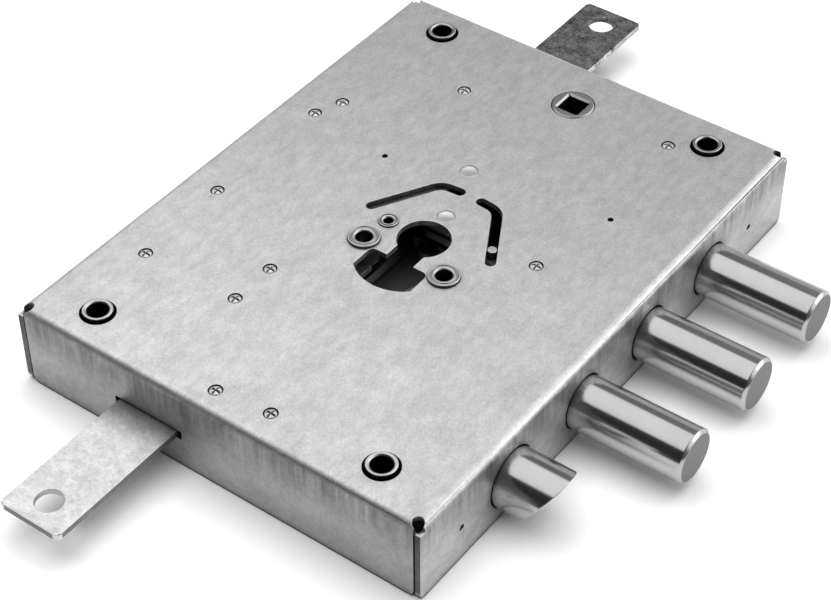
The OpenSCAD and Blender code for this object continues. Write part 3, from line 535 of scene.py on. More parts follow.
@dataclass(frozen=True)
class Finish:
    """A metal finish.

    Attributes:
        name: The finish's name; its material adds "_look", as the frame's materials are named
            like the slots.
        slot: The record's material slot; not used.
        tone: Grey of the clean metal.
        dull: Grey of its dull patches.
        metallic: How much of it is bare metal.
        rough: Roughness of the clean metal.
        rough_more: How much rougher the dull patches are.
        grain: Strength of the fine grain in the tone.
        grain_scale: Grains to the metre.
        stretch: How the grain is drawn out; a small number draws it out along that axis.
        bump: Height of the grain in metres.
        mottle: Strength of the patches in the tone.
        mottle_scale: Patches to the metre.
        edge: Lightening of worn edges; on the upper rod also a painted highlight.
        painted_corner_shade: Darkening of corners and holes, painted shade.
        reach: Distance in metres over which a corner counts as one for that painted shade.
        cut_end: Tone of faces cut square to the X axis, or 0 for none.
        sides: Share of the tone on faces that look along X and along Y: painted shade on the
            flanges and the folds towards Y.
        wall_shade: Share of the tone on walls along Z: painted shade on standing faces such as
            bores and pin sides.
        streaks: Strength of the marks that the folding left on the sides, fading downwards.
        foot: Share of the tone on the lowest half millimetre, where there are streaks: a dark line
            of painted shadow and dirt.
        cut_light_and_shade: Share of the tone where the mark cut is 1: painted shade (below 1) and
            painted highlight (above 1) on cut edges of sheet, painted shade in the marks of heads.
    """

    name: str
    slot: str
    tone: float
    dull: float
    metallic: float = 1.0
    rough: float = 0.35
    rough_more: float = 0.15
    grain: float = 0.12
    grain_scale: float = 900.0
    stretch: Spot = (1.0, 1.0, 1.0)
    bump: float = 0.00001
    mottle: float = 0.5
    mottle_scale: float = 60.0
    edge: float = 0.25
    painted_corner_shade: float = 0.75
    reach: float = 0.004
    cut_end: float = 0.0
    sides: Place = (1.0, 1.0)
    wall_shade: float = 1.0
    streaks: float = 0.0
    foot: float = 1.0
    cut_light_and_shade: float = 1.0

    def shades_and_streaks(self, k: Knots, groups: Groups, facing: dict[str, Socket]) -> list[Socket]:
        """Shares of the tone: painted shade on sides and walls, marks of the folding, a dark foot
        line of painted shadow and dirt, and painted light and shade on cut edges.

        Args:
            k: The material's nodes.
            groups: The shared shader groups.
            facing: Outputs of the group that tells the sides apart.

        Returns:
            The shares by which the tone is multiplied, one after the other.
        """
        found = []
        # Painted shade: faces that look along X and along Y are darker.
        if self.sides != (1.0, 1.0):
            shade = k.blend(facing["Along X"], 1.0, self.sides[0])
            found.append(k.blend(facing["Along Y"], shade, self.sides[1]))
        # Painted shade: faces that stand up along Z are darker.
        if self.wall_shade != 1.0:
            found.append(k.blend(facing["Wall"], 1.0, self.wall_shade))
        if self.streaks:
            lines = k.group(groups.grain, Scale=STREAK_SCALE, Stretch=ALONG_Z)["Grain"]
            height = k.part(k.of_piece("Object"), "Z")
            fading = k.times(k.spread(height, *STREAK_FADE), facing["Wall"])
            found.append(k.math("SUBTRACT", 1.0, k.times(lines, fading, self.streaks)))
            # Darker on the lowest half millimetre: a painted shadow line with dirt at the foot.
            found.append(k.spread(height, *FOOT_FADE, self.foot, 1.0))
        # Painted light and shade on cut edges and head marks: darker below 1, lighter above.
        if self.cut_light_and_shade != 1.0:
            found.append(k.blend(k.mark("cut"), 1.0, self.cut_light_and_shade))
        return found

    def material(self, groups: Groups) -> bpy.types.Material:
        """Build the material, or give back the one built before.

        Args:
            groups: The shared shader groups.

        Returns:
            The material: tone, roughness and a fine bump from grain, patches and wear, with
                painted shade in corners, holes, sides and walls, and painted light and shade on
                cut edges.
        """
        label = self.name + "_look"
        if label in bpy.data.materials:
            return bpy.data.materials[label]
        made = bpy.data.materials.new(label)
        made.use_nodes = True
        k = Knots(made.node_tree)
        grain = k.group(groups.grain, Scale=self.grain_scale, Stretch=self.stretch)
        mottle = k.group(groups.mottle, Scale=self.mottle_scale)
        facing = k.group(groups.facing)
        patch = k.times(k.mixed(mottle["Patch"], 0.65, mottle["Stain"], 0.35), self.mottle)
        base = k.math("MULTIPLY_ADD", patch, self.dull - self.tone, self.tone)
        rough = k.math("MULTIPLY_ADD", patch, self.rough_more, self.rough)
        if self.cut_end:
            low = self.cut_end - RING_TONE / 2
            ends = k.math("MULTIPLY_ADD", facing["Rings"], RING_TONE, low)
            base = k.blend(facing["Along X"], base, ends)
            rough = k.blend(facing["Along X"], rough, CUT_END_ROUGH)
        base = k.times(base, *self.shades_and_streaks(k, groups, facing))
        uneven = k.math("SUBTRACT", grain["Grain"], 0.5)
        speck = k.math("MULTIPLY_ADD", uneven, 2 * self.grain, 1.0)
        worn = k.math("MULTIPLY_ADD", k.group(groups.edge)["Mask"], self.edge, 1.0)
        # Painted shade: corners and holes are darkened by how much of the sky they miss.
        painted_corner_shade = k.times(k.group(groups.corner_shade, Distance=self.reach)["Mask"], self.painted_corner_shade)
        wear_and_shade = k.times(worn, k.math("SUBTRACT", 1.0, painted_corner_shade))
        k.feed(made.node_tree.nodes["Principled BSDF"], {
            "Base Color": k.grey(k.math("MULTIPLY", k.times(base, speck), wear_and_shade, clamp=True)),
            "Roughness": k.math("MULTIPLY_ADD", grain["Cloud"], CLOUD_ROUGH, rough, clamp=True),
            "Normal": k.result(k.add("Bump"), "Normal",
                               {"Distance": self.bump, "Height": grain["Grain"]}),
            "Metallic": self.metallic})
        return made


# The case: painted shade on flanges and folds, a dark foot line of painted shadow and dirt,
# painted shade on cut edges.
CASE_ZINC = Finish(
    "case_zinc", "case_zinc", 0.78, 0.6, metallic=0.94, rough=0.42, grain=0.2, grain_scale=1900,
    stretch=(1.0, 0.5, 1.0), mottle=0.5, mottle_scale=45, sides=(0.82, 0.62), streaks=0.62,
    foot=0.12, cut_light_and_shade=0.3)
COVER_ZINC = Finish(
    "cover_zinc", "cover_zinc", 0.62, 0.48, metallic=0.85, rough=0.42, grain=0.1,
    stretch=ALONG_Y, mottle=0.6, mottle_scale=50)
# Parts inside the case: their painted corner shade reaches 20 mm and darkens them.
INNER_ZINC = Finish(
    "inner_zinc", "inner_zinc", 0.4, 0.29, metallic=0.9, rough=0.4, grain=0.1, stretch=ALONG_X,
    painted_corner_shade=0.93, reach=0.02)
# The lower rod: a painted shadow band beside the flange from its far-reaching corner shade, and
# painted shade on its cut edges.
LOWER_ROD_ZINC = Finish(
    "rod_zinc_lower", "rod_zinc", 0.86, 0.7, metallic=0.9, rough=0.38, grain=0.22,
    grain_scale=1100, mottle=0.8, mottle_scale=130, painted_corner_shade=0.95, reach=0.014, cut_light_and_shade=0.3)
# The upper rod is the shaded copy of the rod zinc: painted shade in its tone, with its edges
# brought up again as painted highlights.
UPPER_ROD_ZINC_SHADED = Finish(
    "rod_zinc_upper_shaded", "rod_zinc", 0.26, 0.17, metallic=0.9, rough=0.4, grain=0.9,
    grain_scale=1000, mottle=0.9, mottle_scale=150, edge=1.6, cut_light_and_shade=2.4)
BOLT_CHROME = Finish(
    "bolt_chrome", "bolt_chrome", 0.6, 0.52, rough=0.13, rough_more=0.05, grain=0.02,
    bump=0.000002, mottle=0.3, edge=0.3, cut_end=0.27)
# Bushes: painted shade in their bores and on their walls.
BUSH_STEEL = Finish(
    "bush_steel", "bush_steel", 0.64, 0.5, rough=0.24, grain=0.06, painted_corner_shade=0.97, reach=0.005,
    edge=0.5, wall_shade=0.3)
# Pins: painted shade on walls and in corners, and in the cross and at the rim of their heads.
PIN_STEEL = Finish(
    "pin_steel", "pin_steel", 0.8, 0.7, metallic=0.9, rough=0.28, grain=0.06, painted_corner_shade=0.95,
    reach=0.0008, wall_shade=0.2, cut_light_and_shade=0.1)
RIVET_STEEL = Finish(
    "rivet_steel", "rivet_steel", 0.82, 0.7, metallic=0.9, rough=0.3, grain=0.04, reach=0.0012)
HARD_STEEL = Finish("hard_steel", "hard_steel", 0.3, 0.2, rough=0.45)
SCREW_STEEL = Finish("screw_steel", "screw_steel", 0.65, 0.5, rough=0.3, reach=0.0015)
SPRING_STEEL = Finish("spring_steel", "spring_steel", 0.36, 0.26, rough=0.28, reach=0.002)
# Follower: painted shade on its walls.
FOLLOWER_STEEL = Finish(
    "follower_steel", "follower_steel", 0.55, 0.4, rough=0.3, grain=0.06, reach=0.005,
    wall_shade=0.35)


def finish_mesh(piece: Piece, width: float, sharp: float = 32.0) -> None:
    """Soften a piece's edges and smooth its normals.

    Args:
        piece: The piece.
        width: Width of the bevel where faces meet sharply, in millimetres; 0 for none.
        sharp: Angle in degrees from which an edge gets the bevel.
    """
    piece.data.shade_smooth()
    if width:
        bevel = piece.modifiers.new("soft_edges", "BEVEL")
        bevel.width, bevel.segments = width * MM, 2
        bevel.limit_method, bevel.angle_limit = "ANGLE", math.radians(sharp)
        bevel.use_clamp_overlap = False
    if "plane" in piece.data.attributes:
        settle_normals(piece)
        return
    weighted = piece.modifiers.new("flat_faces", "WEIGHTED_NORMAL")
    weighted.weight, weighted.keep_sharp = 50, True


# Cosines of the angles up to which a face counts as flat and a normal as near, and the steps to
# one in which normals are told apart.
FLAT_COSINE = 0.9999
NEAR_COSINE = 0.64
NORMAL_STEPS = 50


def settle_normals(piece: Piece) -> None:
    """Apply a piece's modifiers and give its corners smooth normals that leave flat faces flat.

    A corner of a flat face takes the face's normal. A corner of a curved face takes the normal of
    the flat face at its point that is nearest to its own, if that is within about 50 degrees; else
    the sum of area times normal over the curved faces round the point, brought to length 1.

    Args:
        piece: The piece; its faces hold the normal of their flat face as the attribute plane.
    """
    evaluated = piece.evaluated_get(bpy.context.evaluated_depsgraph_get())
    mesh = bpy.data.meshes.new_from_object(evaluated)
    piece.modifiers.clear()
    piece.data = mesh
    mesh.shade_smooth()
    faces, corners = len(mesh.polygons), len(mesh.loops)
    normal, plane = np.empty(faces * 3, np.float32), np.empty(faces * 3, np.float32)
    area, sides = np.empty(faces, np.float32), np.empty(faces, np.int32)
    point = np.empty(corners, np.int32)
    mesh.polygons.foreach_get("normal", normal)
    mesh.polygons.foreach_get("area", area)
    mesh.polygons.foreach_get("loop_total", sides)
    mesh.loops.foreach_get("vertex_index", point)
    mesh.attributes["plane"].data.foreach_get("vector", plane)
    normal, plane = normal.reshape(-1, 3), plane.reshape(-1, 3)
    face = np.repeat(np.arange(faces), sides)
    own, curved = normal[face], ((normal * plane).sum(1) < FLAT_COSINE)[face]
    total = np.zeros((len(mesh.vertices), 3))
    np.add.at(total, point[curved], own[curved] * area[face][curved, None])
    total /= np.maximum(np.linalg.norm(total, axis=1, keepdims=True), 1e-12)
    result = np.where(curved[:, None], total[point], own)
    if not curved.all():
        flat_point, flat_normal = point[~curved], own[~curved]
        keys = np.concatenate([flat_point[:, None], np.round(flat_normal * NORMAL_STEPS)], 1)
        unique, first = np.unique(keys, axis=0, return_index=True)
        at = unique[:, 0].astype(int)
        rank = np.arange(len(at)) - np.searchsorted(at, at)
        table = np.zeros((len(mesh.vertices), rank.max() + 1, 3))
        table[at, rank] = flat_normal[first]
        match = (table[point] * own[:, None]).sum(-1)
        best, near = match.argmax(1), curved & (match.max(1) > NEAR_COSINE)
        result[near] = table[point[near], best[near]]
    mesh.attributes.remove(mesh.attributes["plane"])
    mesh.normals_split_custom_set(result.tolist())


def new_piece(name: str, surface: Surface) -> Piece:
    """Make an object of a surface.

    Args:
        name: The piece's name.
        surface: Its surface in millimetres.

    Returns:
        The object, at the origin, with the surface's marks as float attributes.
    """
    mesh = bpy.data.meshes.new(name)
    faces = surface.quads.tolist() + surface.tris.tolist()
    mesh.from_pydata((surface.points * MM).tolist(), [], faces)
    for label, values in surface.marks.items():
        mark = mesh.attributes.new(label, "FLOAT", "POINT")
        mark.data.foreach_set("value", values.astype(np.float32))
    mesh.validate()
    return in_scene(name, mesh)


def inside(points: np.ndarray, a: np.ndarray, b: np.ndarray) -> np.ndarray:
    """Which points lie inside an outline with holes.

    A point is inside where a line from it along +X meets an odd number of edges: edges whose ends
    lie on both sides of the line, and which meet it at a larger x.

    Args:
        points: The points, one a row.
        a: Where the outline's edges start.
        b: Where they end.

    Returns:
        True for the points inside.
    """
    x, y = points[:, :1], points[:, 1:]
    across = (a[:, 1] > y) != (b[:, 1] > y)
    rise = np.where(b[:, 1] == a[:, 1], 1, b[:, 1] - a[:, 1])
    meets = a[:, 0] + (y - a[:, 1]) / rise * (b[:, 0] - a[:, 0])
    return (across & (meets > x)).sum(1) % 2 == 1


def net_points(a: np.ndarray, b: np.ndarray, step: float) -> np.ndarray:
    """Points of a square net inside an outline, none nearer to it than a third of the step.

    The distance of point p to an edge is |p - a - t (b - a)| with t = (p - a).(b - a) / |b - a|^2
    held between 0 and 1.

    Args:
        a: Where the outline's edges start.
        b: Where they end.
        step: Side of the net's squares.

    Returns:
        The points, one a row.
    """
    low, high = a.min(0), a.max(0)
    columns, rows = (np.arange(low[i] + step / 2, high[i], step) for i in (0, 1))
    grid = np.stack(np.meshgrid(columns, rows), -1).reshape(-1, 2)
    way = b - a
    t = np.clip(((grid[:, None] - a) * way).sum(-1) / np.maximum((way ** 2).sum(-1), 1e-12), 0, 1)
    away = np.linalg.norm(grid[:, None] - a - t[..., None] * way, axis=-1).min(1)
    return grid[(away > step / 3) & inside(grid, a, b)]


# In millimetres: the mean width below which a flat face is a strip of a fold, that below which it
# is a cut edge of sheet, the side of the net's squares, and how far off a level and a wall's end
# may lie. In metres: how far off a plane a point may lie.
FOLD_STRIP = 1.7
CUT_EDGE = 2.6
NET_STEP = 5.0
LEVEL_GAP = 0.002
WALL_GAP = 0.01
SAME_PLANE = 2e-6


def flat_region(seed: Face, taken: set[Face]) -> list[Face]:
    """The flat face of which a face is part.

    Args:
        seed: The face.
        taken: Faces that belong to a flat face already; the new ones join them.

    Returns:
        The faces that join it in its own plane.
    """
    place, normal, region, open_faces = seed.verts[0].co.copy(), seed.normal.copy(), [], [seed]
    taken.add(seed)
    while open_faces:
        face = open_faces.pop()
        region.append(face)
        near = [other for edge in face.edges for other in edge.link_faces if other not in taken]
        flat = [other for other in dict.fromkeys(near)
                if all(abs((v.co - place).dot(normal)) < SAME_PLANE for v in other.verts)]
        taken.update(flat)
        open_faces += flat
    return region


def fill_flat(work: Work, rim: list[Edge], normal: Vector, step: float,
              cut: float = 0.0) -> list[Face]:
    """Fill a flat outline with a regular net of triangles.

    A triangle stays where its middle is inside and each of its sides is on the outline or shared.
    The triangles hold their normal as the attribute plane.

    Args:
        work: The mesh, in metres.
        rim: Edges of the outline and of its holes.
        normal: Where the new faces look.
        step: Side of the net's squares in millimetres.
        cut: 1 where the face is a cut edge of sheet, kept as the attribute cut.

    Returns:
        The new faces.
    """
    corners = list(dict.fromkeys(v for e in rim for v in e.verts))
    number = {v: i for i, v in enumerate(corners)}
    right = normal.orthogonal().normalized()
    basis = np.array([right, normal.cross(right)])
    places = np.array([v.co for v in corners])
    flat = places @ basis.T / MM
    pairs = np.array([[number[v] for v in e.verts] for e in rim])
    a, b = flat[pairs[:, 0]], flat[pairs[:, 1]]
    extra = net_points(a, b, step)
    corners_2d = [Vector(q) for q in np.concatenate([flat, extra])]
    found = delaunay_2d_cdt(corners_2d, pairs.tolist(), [], 0, 1e-6)
    spots, faces, origins = np.array([list(q) for q in found[0]]), np.array(found[2]), found[3]
    faces = faces[inside(spots[faces].mean(1), a, b)]
    name = np.array([o[0] if o else len(corners_2d) + i for i, o in enumerate(origins)])
    sides = np.sort(name[faces[:, [[0, 1], [1, 2], [2, 0]]]], -1) @ [len(name) * 4, 1]
    code, index, uses = np.unique(sides, return_inverse=True, return_counts=True)
    open_side = (uses == 1) & ~np.isin(code, np.sort(pairs, -1) @ [len(name) * 4, 1])
    faces = faces[~open_side[index.reshape(sides.shape)].any(1)]
    lifted = spots * MM @ basis + float(places[0] @ np.array(normal)) * np.array(normal)
    verts = [corners[o[0]] if o and o[0] < len(corners) else work.verts.new(q)
             for o, q in zip(origins, lifted)]
    made = [work.faces.new([verts[i] for i in face]) for face in faces.tolist()]
    plane, edge = work.faces.layers.float_vector["plane"], work.faces.layers.float["cut"]
    for face in made:
        face[plane], face[edge] = normal, cut
    return made


def net_flats(work: Work, least: float = 12.0) -> None:
    """Give every large flat face a regular net of triangles in place of long slivers.

    The strips that make up a fold stay; a face's mean width is twice its area over its outline.

    Args:
        work: The mesh, in metres.
        least: Area in square millimetres from which a flat face gets a net.
    """
    taken: set[Face] = set()
    for seed in sorted(work.faces, key=lambda f: -f.calc_area()):
        if not seed.is_valid or seed in taken:
            continue
        region = flat_region(seed, taken)
        members, normal = set(region), seed.normal.copy()
        edges = list(dict.fromkeys(e for f in region for e in f.edges))
        rim = [e for e in edges if not all(f in members for f in e.link_faces)]
        area = sum(f.calc_area() for f in region) / MM ** 2
        width = 2 * area / (sum(e.calc_length() for e in rim) / MM)
        if area < least or width < FOLD_STRIP:
            continue
        kept = set(rim)
        bmesh.ops.delete(work, geom=region, context="FACES_ONLY")
        bmesh.ops.delete(work, geom=[e for e in edges if e not in kept], context="EDGES")
        taken.update(fill_flat(work, rim, normal, NET_STEP, float(width < CUT_EDGE)))
    loose = [v for v in work.verts if not v.link_faces]
    bmesh.ops.delete(work, geom=loose, context="VERTS")


def circle(at: Place, r: float, count: int = FEW) -> np.ndarray:
    """Points of a circle, counter-clockwise."""
    return arc(at, r, 0, 360 - 360 / count, count)


def arc(at: Place, r: float, start: float, end: float, count: int) -> np.ndarray:
    """Points (x + r cos a, y + r sin a) for angles a from start to end in degrees."""
    a = np.radians(np.linspace(start, end, count))
    return np.stack([at[0] + r * np.cos(a), at[1] + r * np.sin(a)], -1)


def edge_normals(way: np.ndarray) -> np.ndarray:
    """Unit vectors to the right of each edge."""
    way = way / np.linalg.norm(way, axis=1, keepdims=True)
    return np.stack([way[:, 1], -way[:, 0]], -1)


def bent_outline(path: np.ndarray, half: float, bend: float) -> np.ndarray:
    """Outline of a slot with round ends along a bent line.

    The bend is rounded first; then each side is the line moved by half the width along the mean
    normal n = (a + b) / (1 + a.b) of the two edges that meet.

    Args:
        path: Start, bend and end.
        half: Half of the slot's width.
        bend: Distance from the bend at which its rounding starts.

    Returns:
        Points counter-clockwise.
    """
    line = rounded(path, bend, 9)
    right = edge_normals(np.diff(line, axis=0))
    a, b = np.concatenate([right[:1], right]), np.concatenate([right, right[-1:]])
    out = half * (a + b) / (1 + (a * b).sum(1, keepdims=True))
    first, last = np.degrees(np.arctan2(right[[0, -1], 1], right[[0, -1], 0]))
    far, near = (arc(line[i], half, angle, angle + 180, 24)[1:-1]
                 for i, angle in ((-1, last), (0, first + 180)))
    return np.concatenate([line + out, far, (line - out)[::-1], near])


def hole_wall(outline: np.ndarray, low: float, high: float, soft: float) -> np.ndarray:
    """Rows of points down the wall of a hole whose upper edge is rounded.

    The outline is moved into the sheet by an offset along the mean of its two edges' normals; the
    rows go down with offset soft (1 - sin a) and height high - soft (1 - cos a), a from 0 to 90
    degrees, and end in a small chamfer at the lower edge.

    Args:
        outline: Points of the hole, counter-clockwise.
        low: Height of the sheet's underside.
        high: Height of its upper side.
        soft: Radius of the upper edge.

    Returns:
        Points as rows, columns and coordinates.
    """
    after = edge_normals(np.roll(outline, -1, 0) - outline)
    before = np.roll(after, 1, 0)
    out = (before + after) / (1 + (before * after).sum(1, keepdims=True))
    a = np.linspace(0, math.pi / 2, 5)
    offset = np.concatenate([soft * (1 - np.sin(a)), [0, soft / 2]])
    height = np.concatenate([high - soft * (1 - np.cos(a)), [low + soft / 2, low]])
    flat = outline[None] + offset[:, None, None] * out[None]
    return np.concatenate([flat, np.broadcast_to(height[:, None, None], (*flat.shape[:2], 1))], -1)


def punch(work: Work, outlines: list[np.ndarray], low: float, high: float,
          box: tuple[float, float, float, float], soft: float) -> None:
    """Put smooth holes in place of a sheet's faceted ones.

    Args:
        work: The merged copy of the node, in metres.
        outlines: Outlines of all holes in millimetres, counter-clockwise.
        low: Height of the sheet's underside.
        high: Height of its upper side.
        box: Least x, least y, greatest x and greatest y between which the old holes' walls lie.
        soft: Radius of the holes' upper edges.
    """
    def within(face: Face) -> bool:
        """Whether a face is a wall of an old hole: it stands up and lies within the box."""
        spots = [v.co / MM for v in face.verts]
        return abs(face.normal.z) < 0.5 and all(
            low - WALL_GAP < q.z < high + WALL_GAP
            and box[0] < q.x < box[2] and box[1] < q.y < box[3] for q in spots)

    def level(item: Face | Edge, z: float) -> bool:
        """Whether a face or an edge lies in the plane z."""
        return all(abs(v.co.z / MM - z) < LEVEL_GAP for v in item.verts)

    old = [f for f in work.faces if within(f) or level(f, low) or level(f, high)]
    bmesh.ops.delete(work, geom=old, context="FACES_ONLY")
    bmesh.ops.delete(work, geom=[e for e in work.edges if not e.link_faces], context="EDGES")
    for outline in outlines:
        rows = hole_wall(outline, low, high, soft)
        verts = [work.verts.new(q) for q in (rows.reshape(-1, 3) * MM).tolist()]
        for quad in grid_faces(*rows.shape[:2]).tolist():
            work.faces.new([verts[i] for i in quad])
    for z, way in ((high, 1.0), (low, -1.0)):
        rim = [e for e in work.edges if len(e.link_faces) == 1 and level(e, z)]
        fill_flat(work, rim, Vector((0, 0, way)), NET_STEP)


def merged_copy(name: str, node: str, change: Change | None, merge: float) -> Piece:
    """Copy a CAD node, merge its loose triangles and give its flat faces a regular net.

    Args:
        name: The piece's name.
        node: The CAD node.
        change: What is done to the copy once its flat faces have their net.
        merge: Distance in millimetres below which points become one.

    Returns:
        The object, at the origin.
    """
    work = bmesh.new()
    work.from_mesh(frame["nodes"][node].data)
    work.faces.layers.float_vector.new("plane")
    work.faces.layers.float.new("cut")
    bmesh.ops.remove_doubles(work, verts=work.verts, dist=merge * MM)
    work.normal_update()
    net_flats(work)
    if change:
        change(work)
    work.normal_update()
    mesh = bpy.data.meshes.new(name)
    work.to_mesh(mesh)
    work.free()
    return in_scene(name, mesh)


@dataclass(frozen=True)
class StakedPin:
    """A pin riveted over in the visible face; the staking punch leaves a cross in its head.

    Attributes:
        body: Heights and radii of its steps below the face, from the low end up.
        face_low: Height of the face's underside.
        face_top: Height of the head's top.
        head_r: Radius of the head.
        dome: How far the head falls from its middle to its rim.
        rim: Share of the head's radius at which the rounded rim passes into the dome.
        rim_rise: Share of the dome by which that place lies over the rim's foot.
        fade_end: Share of the head's radius at which the cross ends.
        fade: Share of the head's radius over which it fades out.
        mark_depth: Depth of the cross.
        mark_w: Distance from the cross's middle line at which its depth falls to 1 / e.
        rim_shade: Painted shade at the rim, as the mark cut.
        rim_shade_start: Share of the head's radius at which that painted shade sets in.
        rim_shade_fade: Share over which it grows.
    """

    body: tuple[Place, ...]
    face_low: float = 28.0
    face_top: float = 30.35
    head_r: float = 2.25
    dome: float = 0.85
    rim: float = 0.9
    rim_rise: float = 0.19
    fade_end: float = 0.85
    fade: float = 0.2
    mark_depth: float = 0.6
    mark_w: float = 0.34
    rim_shade: float = 0.8
    rim_shade_start: float = 0.7
    rim_shade_fade: float = 0.2

    def surface(self, at: Place) -> Surface:
        """The pin's surface.

        Below the face it is turned from the steps of its body. The head is a dome: at radius r it
        lies dome (r / head_r)^2 under its top, and at a point (x, y) lower again by
        depth e^(-(m / w)^2), with m the lesser of |x| and |y|, fading out near the rim. The cross
        and the rim get painted shade, as the mark cut, which is 1 in the middle of the cross.

        Args:
            at: The pin's place in the face.

        Returns:
            The closed surface in its place.
        """
        head_r, dome = self.head_r, self.dome
        rim_r, rim_z = self.rim * head_r, self.face_top - dome
        steps = [*self.body, (self.face_low, self.body[-1][1]), (self.face_low, head_r),
                 (rim_z, head_r), (rim_z + self.rim_rise * dome, rim_r)]
        rim = rounded(np.array(steps, float), 0.25)
        top_r = np.linspace(rim_r, head_r * 0.04, 16)
        top = np.stack([self.face_top - dome * (top_r / head_r) ** 2, top_r], -1)
        shape = turned(np.concatenate([rim, top[1:]]), FEW)
        x, y, z = shape.points.T
        away = np.hypot(x, y)
        fade = np.clip((self.fade_end * head_r - away) / (self.fade * head_r), 0, 1)
        cut = np.exp(-(np.minimum(abs(x), abs(y)) / self.mark_w) ** 2) * fade
        shape.points[:, 2] = z - np.where(z > rim_z, self.mark_depth * cut, 0)
        # Painted shade: a dark ring at the head's rim joins the dark cross groove in the mark cut.
        rim_shade_mark = self.rim_shade * np.clip((away / head_r - self.rim_shade_start) / self.rim_shade_fade, 0, 1)
        shape.marks["cut"] = np.where(z > self.face_low, np.maximum(cut, rim_shade_mark), 0)
        return laid(shape, Axis.Z, (*at, 0))


@dataclass(frozen=True)
class Bush:
    """A bush in the visible face: a ring whose mouth is chamfered.

    Attributes:
        r: Outer radius.
        bore: Radius of the bore.
        low: Lowest height.
        high: Highest height.
        spigot: Radius of the spigot through the cover plate; without one the upper end has a ring
            groove.
        spigot_top: Height at which the spigot ends.
        lip: Width of the chamfer.
        groove: Depth of the ring groove.
    """

    r: float
    bore: float
    low: float
    high: float
    spigot: float = 0.0
    spigot_top: float = 2.0
    lip: float = 0.5
    groove: float = 0.4

    def surface(self, at: Place) -> Surface:
        """Turn the bush's profile round its axis.

        Args:
            at: The bush's place in the face.

        Returns:
            The closed surface in its place.
        """
        r, high, third = self.r, self.high, (self.r - self.bore - self.lip) / 3
        if self.spigot:
            outside = [(self.low, self.spigot), (self.spigot_top, self.spigot),
                       (self.spigot_top, r), (high, r)]
        else:
            floor = high - self.groove
            outside = [(self.low, r), (high, r), (high, r - third), (floor, r - third),
                       (floor, r - 2 * third), (high, r - 2 * third)]
        mouth = [(high, self.bore + self.lip), (high - self.lip, self.bore)]
        profile = np.array([(self.low, self.bore), *outside, *mouth], float)
        return laid(turned(rounded(profile, 0.3, loop=True), loop=True), Axis.Z, (*at, 0))


@dataclass(frozen=True)
class Stub:
    """A plain turned piece.

    Attributes:
        steps: Heights and radii of its profile, from the low end up.
        soft: Distance from a corner at which its rounding starts.
    """

    steps: tuple[Place, ...]
    soft: float

    def surface(self, at: Place) -> Surface:
        """The piece's closed surface at a place in the face."""
        profile = rounded(np.array(self.steps, float), self.soft)
        return laid(turned(profile, FEW), Axis.Z, (*at, 0))


@dataclass(frozen=True)
class TorsionSpring:
    """A coil round a post, with a leg at each end.

    Attributes:
        post: Where the post stands.
        leg: Points of the first leg, from its tip.
        end: Tip of the other leg.
        level: Height of the first leg.
        turns: Turns of the coil; fewer than none wind it clockwise.
        climb: Height of the other leg over the first one.
        radius: Radius of the coil.
        wire_d: Diameter of the wire.
    """

    post: Place
    leg: tuple[Place, Place]
    end: Place
    level: float
    turns: float
    climb: float
    radius: float = 5.0
    wire_d: float = 1.2

    def surface(self) -> Surface:
        """Carry the wire along both legs and the coil.

        Returns:
            The closed surface in its place.
        """
        middle = coil(self.radius, 90, self.turns, self.climb) + (*self.post, self.level)
        path = np.concatenate([[(*at, self.level) for at in self.leg], middle,
                               [(*self.end, self.level + self.climb)]])
        return wire(through(path), (0, 0, 1), self.wire_d)


@dataclass
class SubAssembly:
    """Pieces that belong together."""

    groups: Groups

    def dress(self, piece: Piece, node: str, look: Finish, edge: float) -> Piece:
        """Finish a piece, let it stand for its node and ride on the node's body.

        Args:
            piece: The piece.
            node: The CAD node that it replaces.
            look: Its finish.
            edge: Width of its bevelled edges in millimetres.

        Returns:
            The piece.
        """
        piece.data.materials.clear()
        piece.data.materials.append(look.material(self.groups))
        finish_mesh(piece, edge)
        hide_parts(node)
        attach(piece, frame["nodes"][node]["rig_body"])
        LOG.info("%s: %d faces", piece.name, len(piece.data.polygons))
        return piece

    def copy(self, node: str, look: Finish, edge: float, change: Change | None = None,
             merge: float = 0.002) -> None:
        """Put a softened copy in place of a CAD node.

        Args:
            node: The CAD node.
            look: The copy's finish.
            edge: Width of its bevelled edges in millimetres.
            change: What is done to the copy before its edges are softened.
            merge: Distance in millimetres below which points become one.
        """
        self.dress(merged_copy(node + "_skin", node, change, merge), node, look, edge)

    def made(self, node: str, surface: Surface, look: Finish, edge: float = 0.0) -> Piece:
        """A new piece in place of a CAD node."""
        return self.dress(new_piece(node + "_skin", surface), node, look, edge)

    def set_in(self, node: str, places: tuple[Place, ...], shape: StakedPin | Bush | Stub,
               look: Finish) -> None:
        """Put one new piece, a shape at several places, in place of a CAD node."""
        self.made(node, joined([shape.surface(at) for at in places]), look)


